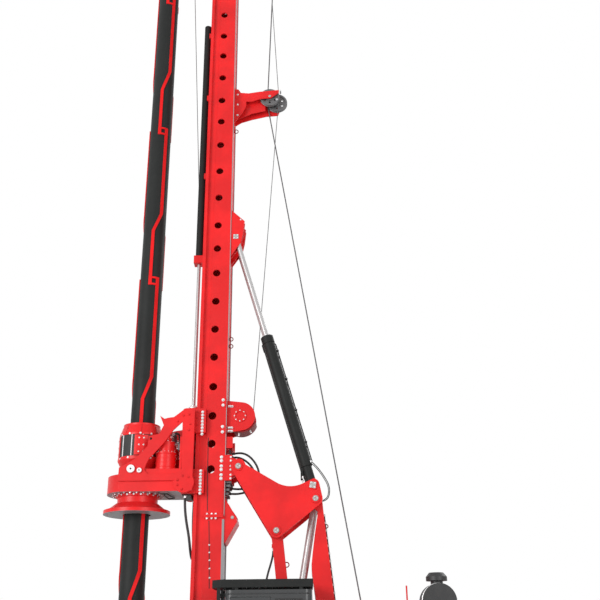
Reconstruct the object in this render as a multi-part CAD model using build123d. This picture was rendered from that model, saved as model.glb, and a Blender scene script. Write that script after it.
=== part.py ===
from build123d import *
import math
import os

# Rotary piling rig. Millimetres: +X forward, +Y to the machine's left, +Z up.
# The origin is on the ground under the slewing axis.

# Crawler undercarriage
TRACK_LENGTH = 5600
TRACK_HEIGHT = 1000
WIDTH_OVER_TRACKS = 4200
SHOE_WIDTH = 800
SHOE_COUNT = 54
SHOE_THICKNESS = 30
SHOE_GAP = 18
GROUSER_HEIGHT = 40
GROUSER_WIDTH = 34
CHAIN_WIDTH = 220
CHAIN_HEIGHT = 120
CARRY_GAP = 0.3
SPROCKET_WIDTH = 90
SPROCKET_TEETH = 13
TOOTH_DEPTH = 34
FINAL_DRIVE_RADIUS = 190
SIDE_BEAM_WIDTH = 460
SIDE_BEAM_BOTTOM = 330
SIDE_BEAM_TOP = 690
SIDE_BEAM_LENGTH = 3700
ROLLER_RADIUS = 100
ROLLER_SPACING = 400
ROLLER_COUNT = 9
CARRIER_RADIUS = 75
AXLE_BEAM_X = 1000
AXLE_BEAM_WIDTH = 340
AXLE_BEAM_BOTTOM = 385
AXLE_BEAM_TOP = 635
AXLE_BEAM_REACH = 1600
SLEEVE_WALL = 45
SLEEVE_LENGTH = 220
SLIDE_CLEARANCE = 6
CAR_BODY_LENGTH = 2700
CAR_BODY_WIDTH = 1300
CAR_BODY_BOTTOM = 350
CAR_BODY_TOP = 1050

# Slewing ring
RING_RADIUS = 800
RING_BORE = 560
RING_TOP = 1250
RING_SPLIT = 1150
BEARING_GAP = 0.5

# Upper carriage
DECK_BOTTOM = RING_TOP
DECK_TOP = 1450
DECK_WIDTH = 3000
DECK_REAR = -3400
DECK_FRONT = 1150
SIDE_BAY_INNER = 500
CAB_STEPS = (1250, 1720)
STEP_BOTTOM = 1180
PLATE = 60
INNER_PLATE = 25
WELD = 2

# Linkage pivots in the side view (X, Z)
BOOM_FOOT = (70, 2365)
LINK_FOOT = (840, 1760)
BOOM_HEAD = (350, 4950)
LINK_HEAD = (1120, 4345)
LUFF_FOOT = (875, 2000)
BACKSTAY_FOOT = (400, 5210)
MAST_PIVOT = (1880, 5600)
BACKSTAY_HEAD = (2030, 10770)

# Widths of the linkage, measured from the centre plane
BRACKET_IN = 262
LUG_IN = 118
LINK_ARM_IN = 152
LINK_ARM_OUT = 250
BOOM_HALF = 250
FORK_HALF = 132
PIVOT_BRACKET_OUT = 340
TRIANGLE_IN = 345
TRIANGLE_PLATE = 50
KEEPER_SIDE = 150
KEEPER_TURN = 10
PIN_GAP = 1
LUFF_EYE_HALF = 115
BACKSTAY_Y = 220
BACKSTAY_EYE_HALF = 50

# Mast
MAST_REAR = 2160
MAST_FRONT = 2750
MAST_HALF = 300
MAST_WALL = 22
MAST_BOTTOM = 1450
MAST_JOINT = 4640
MAST_TOP = 20400
RAIL_DEPTH = 70
RAIL_PROUD = 70
JOINT_FLANGE = 30
JOINT_FLANGE_REACH = 62
SIDE_PROUD = 20
SIDE_PLATE_FRONT = 2540
HOLE_RADIUS = 82
HOLE_X = 2435
HOLE_HEIGHTS = (
    5560, 6076, 6655, 7275, 7924, 8551, 9198, 9870, 10470, 11050, 11760, 12465,
    13175, 13830, 14435, 15100, 15760, 16370, 17030, 17670, 18310, 18960, 19600,
)

# Kelly
KELLY_X = 3920
KELLY_RADIUS = 245
KELLY_WALL = 30
STRIP_WIDTH = 70
STRIP_PROUD = 20
STRIP_SINK = 15
STRIP_ANGLES = (131, 251, 11)
JOG_ANGLE = 37
JOG_STEPS = 10
LOCK_HEIGHT = 200
LOCK_RIM = 45
LOCK_RECESS = 8
KELLY_MODULES = (
    dict(top=17480, jog_start=15390, jog_end=14820),
    dict(top=13540, jog_start=11430, jog_end=10970),
    dict(top=9640, jog_start=7550, jog_end=7050),
    dict(top=5740, jog_start=3650, jog_end=3150),
)
KELLY_FOOT = 2050
KELLY_TOP = 18500
INNER_RADIUS = 205
INNER_HEAD = 500
SPRING_PLATE = 100
SPRING_PLATE_RADIUS = 330
STUB_SIDE = 200
STUB_BOTTOM = 1400
STUB_PIN = 35
STUB_PIN_HEIGHT = 120

# Rotary drive
DRIVE_BORE = 278
SLEEVE_RADIUS = 300
GEARBOX_BOTTOM = 5100
GEARBOX_REAR = 3000
DECK_CORNER = 150
GEARBOX_TOP = 5440
GEARBOX_DECK = 5540
GEARBOX_DECK_FRONT = 4190
GEARBOX_HALF = 540
GEARBOX_NOSE = 610
MOTOR_X = 3340
MOTOR_Y = 330
DISK_RADIUS = 660
DISK_BOTTOM = 4720
DISK_TOP = 4790
DAMPER_BORE = 330
DAMPER_RADIUS = 430
DAMPER_BOTTOM = 5830
DAMPER_TOP = 6270
DAMPER_RODS = 12
DAMPER_ROD = 13
BOLT_CIRCLE = 590
BOLT_COUNT = 16
BOLT_RADIUS = 18


def block(x0, x1, y0, y1, z0, z1):
    """A box given by its two corners."""
    middle = Pos((x0 + x1) / 2, (y0 + y1) / 2, (z0 + z1) / 2)
    return middle * Box(x1 - x0, y1 - y0, z1 - z0)


def side_face(y):
    """The plane of a side view at y: its own x is +X and its own y is +Z."""
    return Plane(origin=(0, y, 0), x_dir=(1, 0, 0), z_dir=(0, -1, 0))


def plate(outline, y0, y1):
    """A flat outline in X and Z, made thick from y0 to y1."""
    return extrude(side_face(y0) * outline, amount=-(y1 - y0))


def polygon(points, radius=0):
    """A closed outline through points, its corners rounded by radius."""
    face = make_face(Polyline(*points, close=True))
    return fillet(face.vertices(), radius) if radius else face


def disc(centre, radius):
    """A circle round a point of the side view."""
    return Pos(*centre) * Circle(radius)


def hull(*circles):
    """The outline of a belt laid round circles, each given as (centre, radius)."""
    edges = [e for centre, radius in circles for e in disc(centre, radius).edges()]
    return make_hull(edges)


def pin(centre, radius, y0, y1):
    """A cross pin at a point of the side view."""
    return plate(disc(centre, radius), y0, y1)


def post(x, y, radius, z0, z1):
    """An upright round bar."""
    return Pos(x, y, (z0 + z1) / 2) * Cylinder(radius, z1 - z0)


def bar(start, end, radius):
    """A round bar between two points in space."""
    way = Vector(*end) - Vector(*start)
    plane = Plane(origin=start, z_dir=way)
    return extrude(plane * Circle(radius), amount=way.length)


def turned(x, y, profile):
    """A solid of revolution about an upright axis, its profile in (radius, Z)."""
    face = make_face(Polyline(*[(r, z) for r, z in profile], close=True))
    solid = revolve(Plane.XZ * face, axis=Axis.Z)
    return Pos(x, y, 0) * solid


def both(shape):
    """A shape and its mirror image across the centre plane."""
    return [shape, mirror(shape, about=Plane.XZ)]


def union(shapes):
    """One shape from several."""
    first, *rest = shapes
    return first.fuse(*rest) if rest else first


def along(start, end, distance, across=0):
    """The point at a distance from start towards end, and across to the rear."""
    length = math.dist(start, end)
    ux, uz = (end[0] - start[0]) / length, (end[1] - start[1]) / length
    return (start[0] + ux * distance - uz * across, start[1] + uz * distance + ux * across)


def save(name, *shapes):
    """Writes a node from one or more shapes."""
    solids = [solid for shape in shapes for solid in shape.solids()]
    whole = solids[0] if len(solids) == 1 else Compound(children=solids)
    export_step(whole, f"parts/{name}.step")


# Undercarriage

TRACK_Y = (WIDTH_OVER_TRACKS - SHOE_WIDTH) / 2
TRACK_AXIS_Z = TRACK_HEIGHT / 2
END_X = (TRACK_LENGTH - TRACK_HEIGHT) / 2
SHOE_FACE = TRACK_HEIGHT / 2 - GROUSER_HEIGHT
CHAIN_INSIDE = SHOE_FACE - SHOE_THICKNESS - CHAIN_HEIGHT
RUN = 2 * END_X
TURN = math.pi * SHOE_FACE


def track_station(s):
    """The place on the shoes' face after a way s round the loop, and its outward angle."""
    s %= 2 * (RUN + TURN)
    if s < RUN:
        return END_X - s, TRACK_AXIS_Z - SHOE_FACE, -math.pi / 2
    if s < RUN + TURN:
        angle = -math.pi / 2 - (s - RUN) / SHOE_FACE
        return (
            -END_X + SHOE_FACE * math.cos(angle),
            TRACK_AXIS_Z + SHOE_FACE * math.sin(angle),
            angle,
        )
    if s < 2 * RUN + TURN:
        return -END_X + s - RUN - TURN, TRACK_AXIS_Z + SHOE_FACE, math.pi / 2
    angle = math.pi / 2 - (s - 2 * RUN - TURN) / SHOE_FACE
    return END_X + SHOE_FACE * math.cos(angle), TRACK_AXIS_Z + SHOE_FACE * math.sin(angle), angle


def shoe_outline():
    """The loop's outer outline: each shoe is a flat plate with one grouser bar."""
    pitch = 2 * (RUN + TURN) / SHOE_COUNT
    half = (pitch - SHOE_GAP) / 2
    bar_half = GROUSER_WIDTH / 2
    notch = -(SHOE_THICKNESS - 6)
    section = [
        (-half, notch),
        (-half, 0),
        (-bar_half, 0),
        (-bar_half, GROUSER_HEIGHT),
        (bar_half, GROUSER_HEIGHT),
        (bar_half, 0),
        (half, 0),
        (half, notch),
    ]
    points = []
    for i in range(SHOE_COUNT):
        x, z, angle = track_station((i + 0.5) * pitch)
        nx, nz = math.cos(angle), math.sin(angle)
        points += [(x + nz * u + nx * v, z - nx * u + nz * v) for u, v in section]
    return make_face(Polyline(*points, close=True))


def stadium(radius):
    """The outline of a loop round the two end wheels."""
    return hull(((-END_X, TRACK_AXIS_Z), radius), ((END_X, TRACK_AXIS_Z), radius))


def track_loop(y):
    """One crawler track: a ring of shoes on a narrower chain."""
    shoe_inside = SHOE_FACE - SHOE_THICKNESS
    shoes = shoe_outline() - stadium(shoe_inside)
    chain = stadium(shoe_inside + 1) - stadium(CHAIN_INSIDE)
    wide = plate(shoes, y - SHOE_WIDTH / 2, y + SHOE_WIDTH / 2)
    return wide.fuse(plate(chain, y - CHAIN_WIDTH / 2, y + CHAIN_WIDTH / 2))


def side_frame(y, outward):
    """One side frame with its rollers, sleeves and final drive."""
    inner = y - SIDE_BEAM_WIDTH / 2
    outer = y + SIDE_BEAM_WIDTH / 2
    half = SIDE_BEAM_LENGTH / 2
    beam = block(-half, half, inner, outer, SIDE_BEAM_BOTTOM, SIDE_BEAM_TOP)
    parts = [beam]
    bottom_z = TRACK_AXIS_Z - CHAIN_INSIDE + ROLLER_RADIUS + CARRY_GAP
    top_z = TRACK_AXIS_Z + CHAIN_INSIDE - CARRIER_RADIUS - CARRY_GAP
    for i in range(ROLLER_COUNT):
        x = (i - (ROLLER_COUNT - 1) / 2) * ROLLER_SPACING
        parts.append(pin((x, bottom_z), ROLLER_RADIUS, y - CHAIN_WIDTH / 2, y + CHAIN_WIDTH / 2))
    for x in (-AXLE_BEAM_X * 0.45, AXLE_BEAM_X * 0.45):
        parts.append(pin((x, top_z), CARRIER_RADIUS, y - CHAIN_WIDTH / 2, y + CHAIN_WIDTH / 2))
        parts.append(block(x - 40, x + 40, y - 60, y + 60, SIDE_BEAM_TOP - 10, top_z))
    cheek = hull(((-END_X, TRACK_AXIS_Z), FINAL_DRIVE_RADIUS), ((-half, TRACK_AXIS_Z), 160))
    inner_cheek = y - outward * (SIDE_BEAM_WIDTH / 2 - 55)
    parts.append(plate(cheek, inner_cheek - 55, inner_cheek + 55))
    parts.append(pin((-END_X, TRACK_AXIS_Z), FINAL_DRIVE_RADIUS, inner, outer))
    for side in (-1, 1):
        fork = hull(((END_X, TRACK_AXIS_Z), 95), ((half - 60, TRACK_AXIS_Z), 130))
        centre = y + side * (SIDE_BEAM_WIDTH / 2 - 40)
        parts.append(plate(fork, centre - 40, centre + 40))
    parts.append(pin((END_X, TRACK_AXIS_Z), 60, inner, outer))
    hole_half = AXLE_BEAM_WIDTH / 2 + SLIDE_CLEARANCE
    hole_bottom = AXLE_BEAM_BOTTOM - CARRY_GAP
    hole_top = AXLE_BEAM_TOP + SLIDE_CLEARANCE
    root, tip = SIDE_BEAM_WIDTH / 2, SIDE_BEAM_WIDTH / 2 + SLEEVE_LENGTH
    near, far = sorted((y - outward * root, y - outward * tip))
    for x in (-AXLE_BEAM_X, AXLE_BEAM_X):
        parts.append(
            block(
                x - hole_half - SLEEVE_WALL,
                x + hole_half + SLEEVE_WALL,
                near,
                far,
                hole_bottom - SLEEVE_WALL,
                hole_top + SLEEVE_WALL,
            )
        )
    frame = union(parts)
    reach = SIDE_BEAM_WIDTH / 2 + SLEEVE_LENGTH + 50
    for x in (-AXLE_BEAM_X, AXLE_BEAM_X):
        frame -= block(x - hole_half, x + hole_half, y - reach, y + reach, hole_bottom, hole_top)
    return frame


def sprocket(y):
    """A toothed ring bolted to the final drive."""
    tip = CHAIN_INSIDE - CARRY_GAP
    outline = disc((-END_X, TRACK_AXIS_Z), tip)
    for i in range(SPROCKET_TEETH):
        angle = 2 * math.pi * i / SPROCKET_TEETH
        at = (-END_X + tip * math.cos(angle), TRACK_AXIS_Z + tip * math.sin(angle))
        outline -= disc(at, TOOTH_DEPTH)
    outline -= disc((-END_X, TRACK_AXIS_Z), FINAL_DRIVE_RADIUS)
    return plate(outline, y - SPROCKET_WIDTH / 2, y + SPROCKET_WIDTH / 2)


def idler(y):
    """The plain wheel at the front of a track."""
    rim = disc((END_X, TRACK_AXIS_Z), CHAIN_INSIDE - CARRY_GAP) - disc((END_X, TRACK_AXIS_Z), 60)
    wheel = plate(rim, y - 95, y + 95)
    web = disc((END_X, TRACK_AXIS_Z), CHAIN_INSIDE - 55) - disc((END_X, TRACK_AXIS_Z), 110)
    for y0, y1 in ((y - 96, y - 55), (y + 55, y + 96)):
        wheel -= plate(web, y0, y1)
    return wheel


def car_body():
    """The centre body with its two cross beams and the fixed half of the slewing ring."""
    half_x = CAR_BODY_LENGTH / 2
    half_y = CAR_BODY_WIDTH / 2
    hub = RING_RADIUS
    outline = Polyline(
        (-half_x, -half_y + 150),
        (-half_x + 250, -half_y),
        (half_x - 250, -half_y),
        (half_x, -half_y + 150),
        (half_x, half_y - 150),
        (half_x - 250, half_y),
        (-half_x + 250, half_y),
        (-half_x, half_y - 150),
        close=True,
    )
    height = CAR_BODY_TOP - 150 - CAR_BODY_BOTTOM
    body = extrude(Pos(0, 0, CAR_BODY_BOTTOM) * make_face(outline), amount=height)
    tower = Pos(0, 0, CAR_BODY_TOP - 175) * Cone(hub - 60, hub, 350)
    beams = [
        block(
            x - AXLE_BEAM_WIDTH / 2,
            x + AXLE_BEAM_WIDTH / 2,
            -AXLE_BEAM_REACH,
            AXLE_BEAM_REACH,
            AXLE_BEAM_BOTTOM,
            AXLE_BEAM_TOP,
        )
        for x in (-AXLE_BEAM_X, AXLE_BEAM_X)
    ]
    return union([body, tower, *beams, ring(CAR_BODY_TOP - WELD, RING_SPLIT)])


def ring(z0, z1):
    """One half of the slewing ring, between two heights."""
    return turned(0, 0, [(RING_BORE, z0), (RING_RADIUS, z0), (RING_RADIUS, z1), (RING_BORE, z1)])


# Upper carriage

CAB = dict(x0=450, x1=2000, y0=SIDE_BAY_INNER + 20, y1=DECK_WIDTH / 2, z0=1500, z1=3200)
CAB_WALL = 60
CAB_CORNER = 140
SEAT_ROOM = 180
GLASS = 8
DOOR = dict(x0=1180, x1=1900, z0=1580, z1=3080)
DOOR_CLEARANCE = 6
DOOR_AXIS = (1174, CAB["y1"] + 35)
HOUSE = dict(x0=-3400, x1=-1450, z0=DECK_TOP, z1=2650)
HOUSE_HALF = DECK_WIDTH / 2
HOUSE_WALL = 40
HATCH = dict(x0=-3200, x1=-1700, z0=1560, z1=2540)
HATCH_HINGE_Y = HOUSE_HALF + 20
HATCH_KNUCKLES = (1700, 2340)
KNUCKLE_RADIUS = 15
KNUCKLE_LENGTH = 60
GRILLE = dict(x0=-3120, x1=-2260, y0=-700, y1=500)
GRILLE_SLOTS = 11
GRILLE_PITCH = 80
GRILLE_SLOT = 48
EXHAUST = dict(x=-1900, y=-700, radius=70, wall=6, top=2980)
RAIL_BAR = 18
ENGINE = dict(x0=-2980, x1=-1800)
CABINET = dict(x0=-1450, x1=250, top=2650)
DOOR_SEAMS = 4
SEAM_DEPTH = 8
POLE = dict(x=-1230, y=DECK_WIDTH / 2 - 200, radius=14, top=3250)
TANK = dict(x0=-1450, x1=1700, top=2350)
TANK_SEAMS = (-400, 650)
COUNTERWEIGHT_REAR = -4580
COUNTERWEIGHT_HALF = HOUSE_HALF - 50
COUNTERWEIGHT_BOTTOM = 1300
COUNTERWEIGHT_TOP = 2700
WINCH_AXIS = (-930, 2150)
WINCH_DRUM = 285
WINCH_FLANGE = 380
WINCH_HALF = 320


def upper_frame():
    """The deck with its bracket plates and the pins that hold the linkage."""
    half = DECK_WIDTH / 2
    deck = block(DECK_REAR, DECK_FRONT, -half, half, DECK_BOTTOM, DECK_TOP)
    cab_floor = block(DECK_FRONT, CAB["x1"] + 50, CAB["y0"] - 20, half, DECK_BOTTOM, DECK_TOP)
    right_floor = block(DECK_FRONT, TANK["x1"] + 100, -half, -SIDE_BAY_INNER, DECK_BOTTOM, DECK_TOP)
    foot_z = DECK_TOP + 40
    outer = hull((BOOM_FOOT, 170), ((-420, foot_z), 60), (LINK_FOOT, 150), ((1050, foot_z), 60))
    inner = hull((LUFF_FOOT, 130), ((560, DECK_TOP + 40), 60), ((1080, DECK_TOP + 40), 60))
    parts = [deck, cab_floor, right_floor, ring(RING_SPLIT + BEARING_GAP, RING_TOP + WELD)]
    parts += both(plate(outer, BRACKET_IN, BRACKET_IN + PLATE))
    parts += both(plate(inner, LUG_IN, LUG_IN + INNER_PLATE))
    for x in (CAB["x0"] + 120, CAB["x1"] - 120):
        for y in (CAB["y0"] + 120, CAB["y1"] - 120):
            parts.append(post(x, y, 60, DECK_TOP - WELD, CAB["z0"]))
    parts.append(pin(BOOM_FOOT, 60, -BRACKET_IN - PLATE - 20, BRACKET_IN + PLATE + 20))
    parts += both(pin(LINK_FOOT, 55, LUG_IN, BRACKET_IN + PLATE + 20))
    for side_x in CAB_STEPS:
        parts.append(block(side_x, side_x + 30, half - WELD, half + 130, STEP_BOTTOM, STEP_BOTTOM + 260))
    for z in (STEP_BOTTOM, STEP_BOTTOM + 130):
        parts.append(block(CAB_STEPS[0], CAB_STEPS[1] + 30, half, half + 130, z, z + 20))
    parts.append(pin(LUFF_FOOT, 55, -LUG_IN - INNER_PLATE, LUG_IN + INNER_PLATE))
    return union(parts)


def cab_outer():
    """The rounded outside of the cab."""
    body = block(CAB["x0"], CAB["x1"], CAB["y0"], CAB["y1"], CAB["z0"], CAB["z1"])
    upright = body.edges().filter_by(Axis.Z)
    return fillet(upright, CAB_CORNER)


def cab_windows():
    """The cab's window openings, each as the two corners of a box through its wall."""
    c, w = CAB, CAB_WALL
    over = w + 60
    return {
        "front_upper": (c["x1"] - over, c["x1"] + 60, c["y0"] + 170, c["y1"] - 170, 2150, 3050),
        "front_lower": (c["x1"] - over, c["x1"] + 60, c["y0"] + 170, c["y1"] - 170, 1620, 2080),
        "left_rear": (650, 1080, c["y1"] - over, c["y1"] + 60, 2200, 3020),
        "right": (650, 1840, c["y0"] - 60, c["y0"] + over, 2200, 3020),
        "rear": (c["x0"] - 60, c["x0"] + over, c["y0"] + 200, c["y1"] - 200, 2250, 3000),
        "roof": (1150, 1750, c["y0"] + 200, c["y1"] - 200, c["z1"] - over, c["z1"] + 60),
    }


def cab_body():
    """The cab's walls and floor, open at the door and the windows, and its roof panel."""
    c, w = CAB, CAB_WALL
    inside = block(c["x0"] + w, c["x1"] - w, c["y0"] + w, c["y1"] - w, c["z0"] + w, c["z1"] - w)
    inside = fillet(inside.edges().filter_by(Axis.Z), CAB_CORNER - w)
    shell = cab_outer() - inside
    for corners in cab_windows().values():
        shell -= block(*corners)
    shell -= block(DOOR["x0"], DOOR["x1"], c["y1"] - w - 60, c["y1"] + 60, DOOR["z0"], DOOR["z1"])
    over = block(c["x0"] - 10, c["x1"] + 10, c["y0"] - 10, c["y1"] + 10, c["z1"] - w, c["z1"] + 10)
    return shell - over, shell & over


def cab_glass():
    """A pane in the middle of each window opening's wall."""
    c, w = CAB, CAB_WALL
    panes = []
    for name, (x0, x1, y0, y1, z0, z1) in cab_windows().items():
        middle = w / 2
        if name.startswith("front"):
            x0, x1 = c["x1"] - middle - GLASS / 2, c["x1"] - middle + GLASS / 2
        elif name == "rear":
            x0, x1 = c["x0"] + middle - GLASS / 2, c["x0"] + middle + GLASS / 2
        elif name == "left_rear":
            y0, y1 = c["y1"] - middle - GLASS / 2, c["y1"] - middle + GLASS / 2
        elif name == "right":
            y0, y1 = c["y0"] + middle - GLASS / 2, c["y0"] + middle + GLASS / 2
        else:
            z0, z1 = c["z1"] - middle - GLASS / 2, c["z1"] - middle + GLASS / 2
        panes.append(block(x0, x1, y0, y1, z0, z1))
    return panes


def cab_door():
    """The door panel with its window frame, handle and hinge knuckles."""
    d, g = DOOR, DOOR_CLEARANCE
    y0, y1 = CAB["y1"] - CAB_WALL, CAB["y1"]
    panel = block(d["x0"] + g, d["x1"] - g, y0, y1, d["z0"] + g, d["z1"] - g)
    window = (d["x0"] + 90, d["x1"] - 90, d["z0"] + 560, d["z1"] - 90)
    panel -= block(window[0], window[1], y0 - 10, y1 + 10, window[2], window[3])
    handle = block(d["x1"] - 75, d["x1"] - 50, y1, y1 + 45, 2250, 2480)
    parts = [panel, handle]
    for z in (1750, 2820):
        parts.append(block(d["x0"] + g, d["x0"] + 60, y1, y1 + g, z, z + 60))
        parts.append(block(DOOR_AXIS[0], d["x0"] + 60, y1 + g, DOOR_AXIS[1], z, z + 60))
        parts.append(post(*DOOR_AXIS, 15, z, z + 60))
    middle = (y0 + y1) / 2
    pane = block(window[0], window[1], middle - GLASS / 2, middle + GLASS / 2, window[2], window[3])
    return union(parts), pane


def cab_hinges():
    """The fixed halves of the door's hinges."""
    parts = []
    for z in (1750 - 60 - CARRY_GAP, 2820 - 60 - CARRY_GAP):
        leaf = block(DOOR_AXIS[0] - 70, DOOR_AXIS[0], CAB["y1"], DOOR_AXIS[1], z, z + 60)
        parts.append(leaf.fuse(post(*DOOR_AXIS, 15, z, z + 60)))
    return parts


GUARD = dict(bottom=3240, top=3375, slat_top=3330, tip=2235, corner=2060, inner_corner=2000, rear=436)
GUARD_BAR = 20


def roof_guard():
    """The grid over the cab's roof with its pointed visor, and the bars before the windscreen."""
    g = GUARD
    y0, y1 = CAB["y0"] - 10, CAB["y1"] + 10
    x0, x1, tip = g["rear"], g["corner"], g["tip"]
    inner = g["inner_corner"]
    outline = Polyline((x0, y0), (inner, y0), (tip, y0 + 240), (tip, y1 - 180), (x1, y1), (x0, y1), close=True)
    guard = extrude(Pos(0, 0, g["bottom"]) * make_face(outline), amount=g["top"] - g["bottom"])
    guard -= block(x0 + 60, x1 - 20, y0 + 60, y1 - 60, g["bottom"] - 5, g["top"] + 5)
    low, high = g["bottom"] + 30, g["slat_top"]
    slats = [block(x, x + 40, y0 + 58, y1 - 58, low, high) for x in range(560, 2000, 120)]
    legs = [
        block(x, x + 60, y, y + 60, CAB["z1"], g["bottom"] + WELD)
        for x in (620, 1760)
        for y in (CAB["y0"], CAB["y1"] - 60)
    ]
    pillar_y = (CAB["y0"] + 90, CAB["y1"] - 100)
    pillars = [block(2080, 2140, y, y + 40, 1760, g["bottom"] + WELD) for y in pillar_y]
    feet = [
        block(CAB["x1"], 2098 + WELD, y, y + 40, z, z + 50)
        for z in (1780, 3100)
        for y in (CAB["y0"] + CAB_CORNER, CAB["y1"] - CAB_CORNER - 40)
    ]
    low, high = CAB["y0"] + 90, CAB["y1"] - 60
    rungs = [block(2098, 2118, low, high, z, z + GUARD_BAR) for z in range(1795, 3200, 130)]
    return union([guard, *slats, *legs, *pillars, *feet, *rungs])


def operator_seat():
    """The seat on its stand, and the control console beside it."""
    y = (CAB["y0"] + CAB["y1"]) / 2
    floor = CAB["z0"] + CAB_WALL
    seat_half = (CAB["y1"] - CAB["y0"]) / 2 - CAB_WALL - SEAT_ROOM
    arm = seat_half + 75
    rest = seat_half + 40
    stand = block(850, 1150, y - 160, y + 160, floor, 1850)
    cushion = block(780, 1280, y - seat_half, y + seat_half, 1850, 1990)
    back = block(720, 840, y - seat_half + 10, y + seat_half - 10, 1990, 2640)
    rests = [block(850, 1200, y + s * rest - 35, y + s * rest + 35, 2090, 2130) for s in (-1, 1)]
    arms = [block(860, 920, *sorted((y + s * seat_half, y + s * arm)), 1900, 2095) for s in (-1, 1)]
    console = block(1650, 1850, y - seat_half - 80, y - 60, floor, 2080)
    armrests = [arm.fuse(rest) for arm, rest in zip(arms, rests)]
    return [union([stand, cushion, back]), *armrests, console]


def engine_house():
    """The sheet housing over the engine, open where the side doors close."""
    h = HOUSE
    house = block(h["x0"], h["x1"], -HOUSE_HALF, HOUSE_HALF, h["z0"], h["z1"])
    house -= block(
        h["x0"] + HOUSE_WALL,
        h["x1"] - HOUSE_WALL,
        -HOUSE_HALF + HOUSE_WALL,
        HOUSE_HALF - HOUSE_WALL,
        h["z0"] - 10,
        h["z1"] - HOUSE_WALL,
    )
    t = HATCH
    for side in (-1, 1):
        house -= block(t["x0"], t["x1"], side * HOUSE_HALF - 60, side * HOUSE_HALF + 60, t["z0"], t["z1"])
    knuckles = []
    for z in HATCH_KNUCKLES:
        z0 = z - KNUCKLE_LENGTH - CARRY_GAP
        z1 = z - CARRY_GAP
        leaf = block(t["x1"], t["x1"] + 70, HOUSE_HALF - WELD, HATCH_HINGE_Y, z0, z1)
        knuckles += both(leaf.fuse(post(t["x1"], HATCH_HINGE_Y, KNUCKLE_RADIUS, z0, z1)))
    g = GRILLE
    for i in range(GRILLE_SLOTS):
        x = g["x0"] + i * GRILLE_PITCH
        house -= block(x, x + GRILLE_SLOT, g["y0"], g["y1"], h["z1"] - HOUSE_WALL - 10, h["z1"] + 10)
    curb = block(g["x0"] - 60, g["x1"] + 60, g["y0"] - 60, g["y1"] + 60, h["z1"] - WELD, h["z1"] + 50)
    curb -= block(g["x0"] - 20, g["x1"] + 20, g["y0"] - 20, g["y1"] + 20, h["z1"] - 10, h["z1"] + 60)
    x, y, pipe = EXHAUST["x"], EXHAUST["y"], EXHAUST["radius"]
    top = EXHAUST["top"]
    stack = post(x, y, pipe, h["z1"] - WELD, top).fuse(post(x, y, pipe + 30, h["z1"] - WELD, h["z1"] + 40))
    stack -= post(x, y, pipe - EXHAUST["wall"], h["z1"] + 5, top + 5)
    edge = HOUSE_HALF - 60
    rails = [
        grab_rail(h["x0"] + 120, CLEANER["x"] - CLEANER["radius"] - 120, edge, h["z1"], 230),
        grab_rail(h["x0"] + 120, h["x1"] - 120, -edge, h["z1"], 230),
    ]
    return union([house, curb, stack, *knuckles, *rails])


def grab_rail(x0, x1, y, z, height):
    """A low rail of round bar along a roof's edge, on evenly spaced posts."""
    top = z + height
    count = max(2, round((x1 - x0) / 700) + 1)
    posts = [post(x0 + i * (x1 - x0) / (count - 1), y, RAIL_BAR, z - WELD, top) for i in range(count)]
    return union([bar((x0 - RAIL_BAR, y, top), (x1 + RAIL_BAR, y, top), RAIL_BAR), *posts])


def engine():
    """The diesel engine: its sump, block, valve covers, fan housing and turbocharger."""
    x0, x1 = ENGINE["x0"], ENGINE["x1"]
    z = DECK_TOP
    feet = [block(x, x + 120, -420, 420, z, z + 80) for x in (x0 + 120, x1 - 240)]
    sump = block(x0 + 150, x1 - 150, -230, 230, z + 60, z + 260)
    crankcase = block(x0, x1, -320, 320, z + 240, z + 620)
    head = block(x0 + 60, x1 - 60, -210, 210, z + 610, z + 780)
    covers = [block(x0 + 90 + i * 170, x0 + 220 + i * 170, -150, 150, z + 770, z + 860) for i in range(6)]
    fan = Pos(x0 - 40, 0, z + 480) * Rot(0, 90, 0) * Cylinder(400, 90)
    turbo = pin((x0 + 560, z + 700), 130, 200, 400)
    return union([*feet, sump, crankcase, head, *covers, fan, turbo])


def left_cabinet():
    """The cabinet behind the cab: three doors with handles, a step and a thin pole on top."""
    c = CABINET
    body = block(c["x0"], c["x1"], SIDE_BAY_INNER, DECK_WIDTH / 2, DECK_TOP, c["top"])
    body = fillet(body.edges().filter_by(Axis.X).group_by(Axis.Z)[-1].sort_by(Axis.Y)[-1], 60)
    outer = DECK_WIDTH / 2
    for i in range(DOOR_SEAMS):
        x = c["x0"] + i * (c["x1"] - c["x0"] - 30) / (DOOR_SEAMS - 1)
        body -= block(x + 10, x + 20, outer - SEAM_DEPTH, outer + 10, DECK_TOP + 40, c["top"] - 90)
    for z in (DECK_TOP + 40, c["top"] - 100):
        body -= block(c["x0"] + 10, c["x1"] - 10, outer - SEAM_DEPTH, outer + 10, z, z + 10)
    handles = [block(x, x + 30, outer - WELD, outer + 24, 2000, 2180) for x in (-960, -390, 180)]
    pole = post(POLE["x"], POLE["y"], POLE["radius"], c["top"] - WELD, POLE["top"])
    rail = grab_rail(c["x0"] + 420, c["x1"] - 60, outer - 90, c["top"], 230)
    return union([body, *handles, pole, rail])


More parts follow.
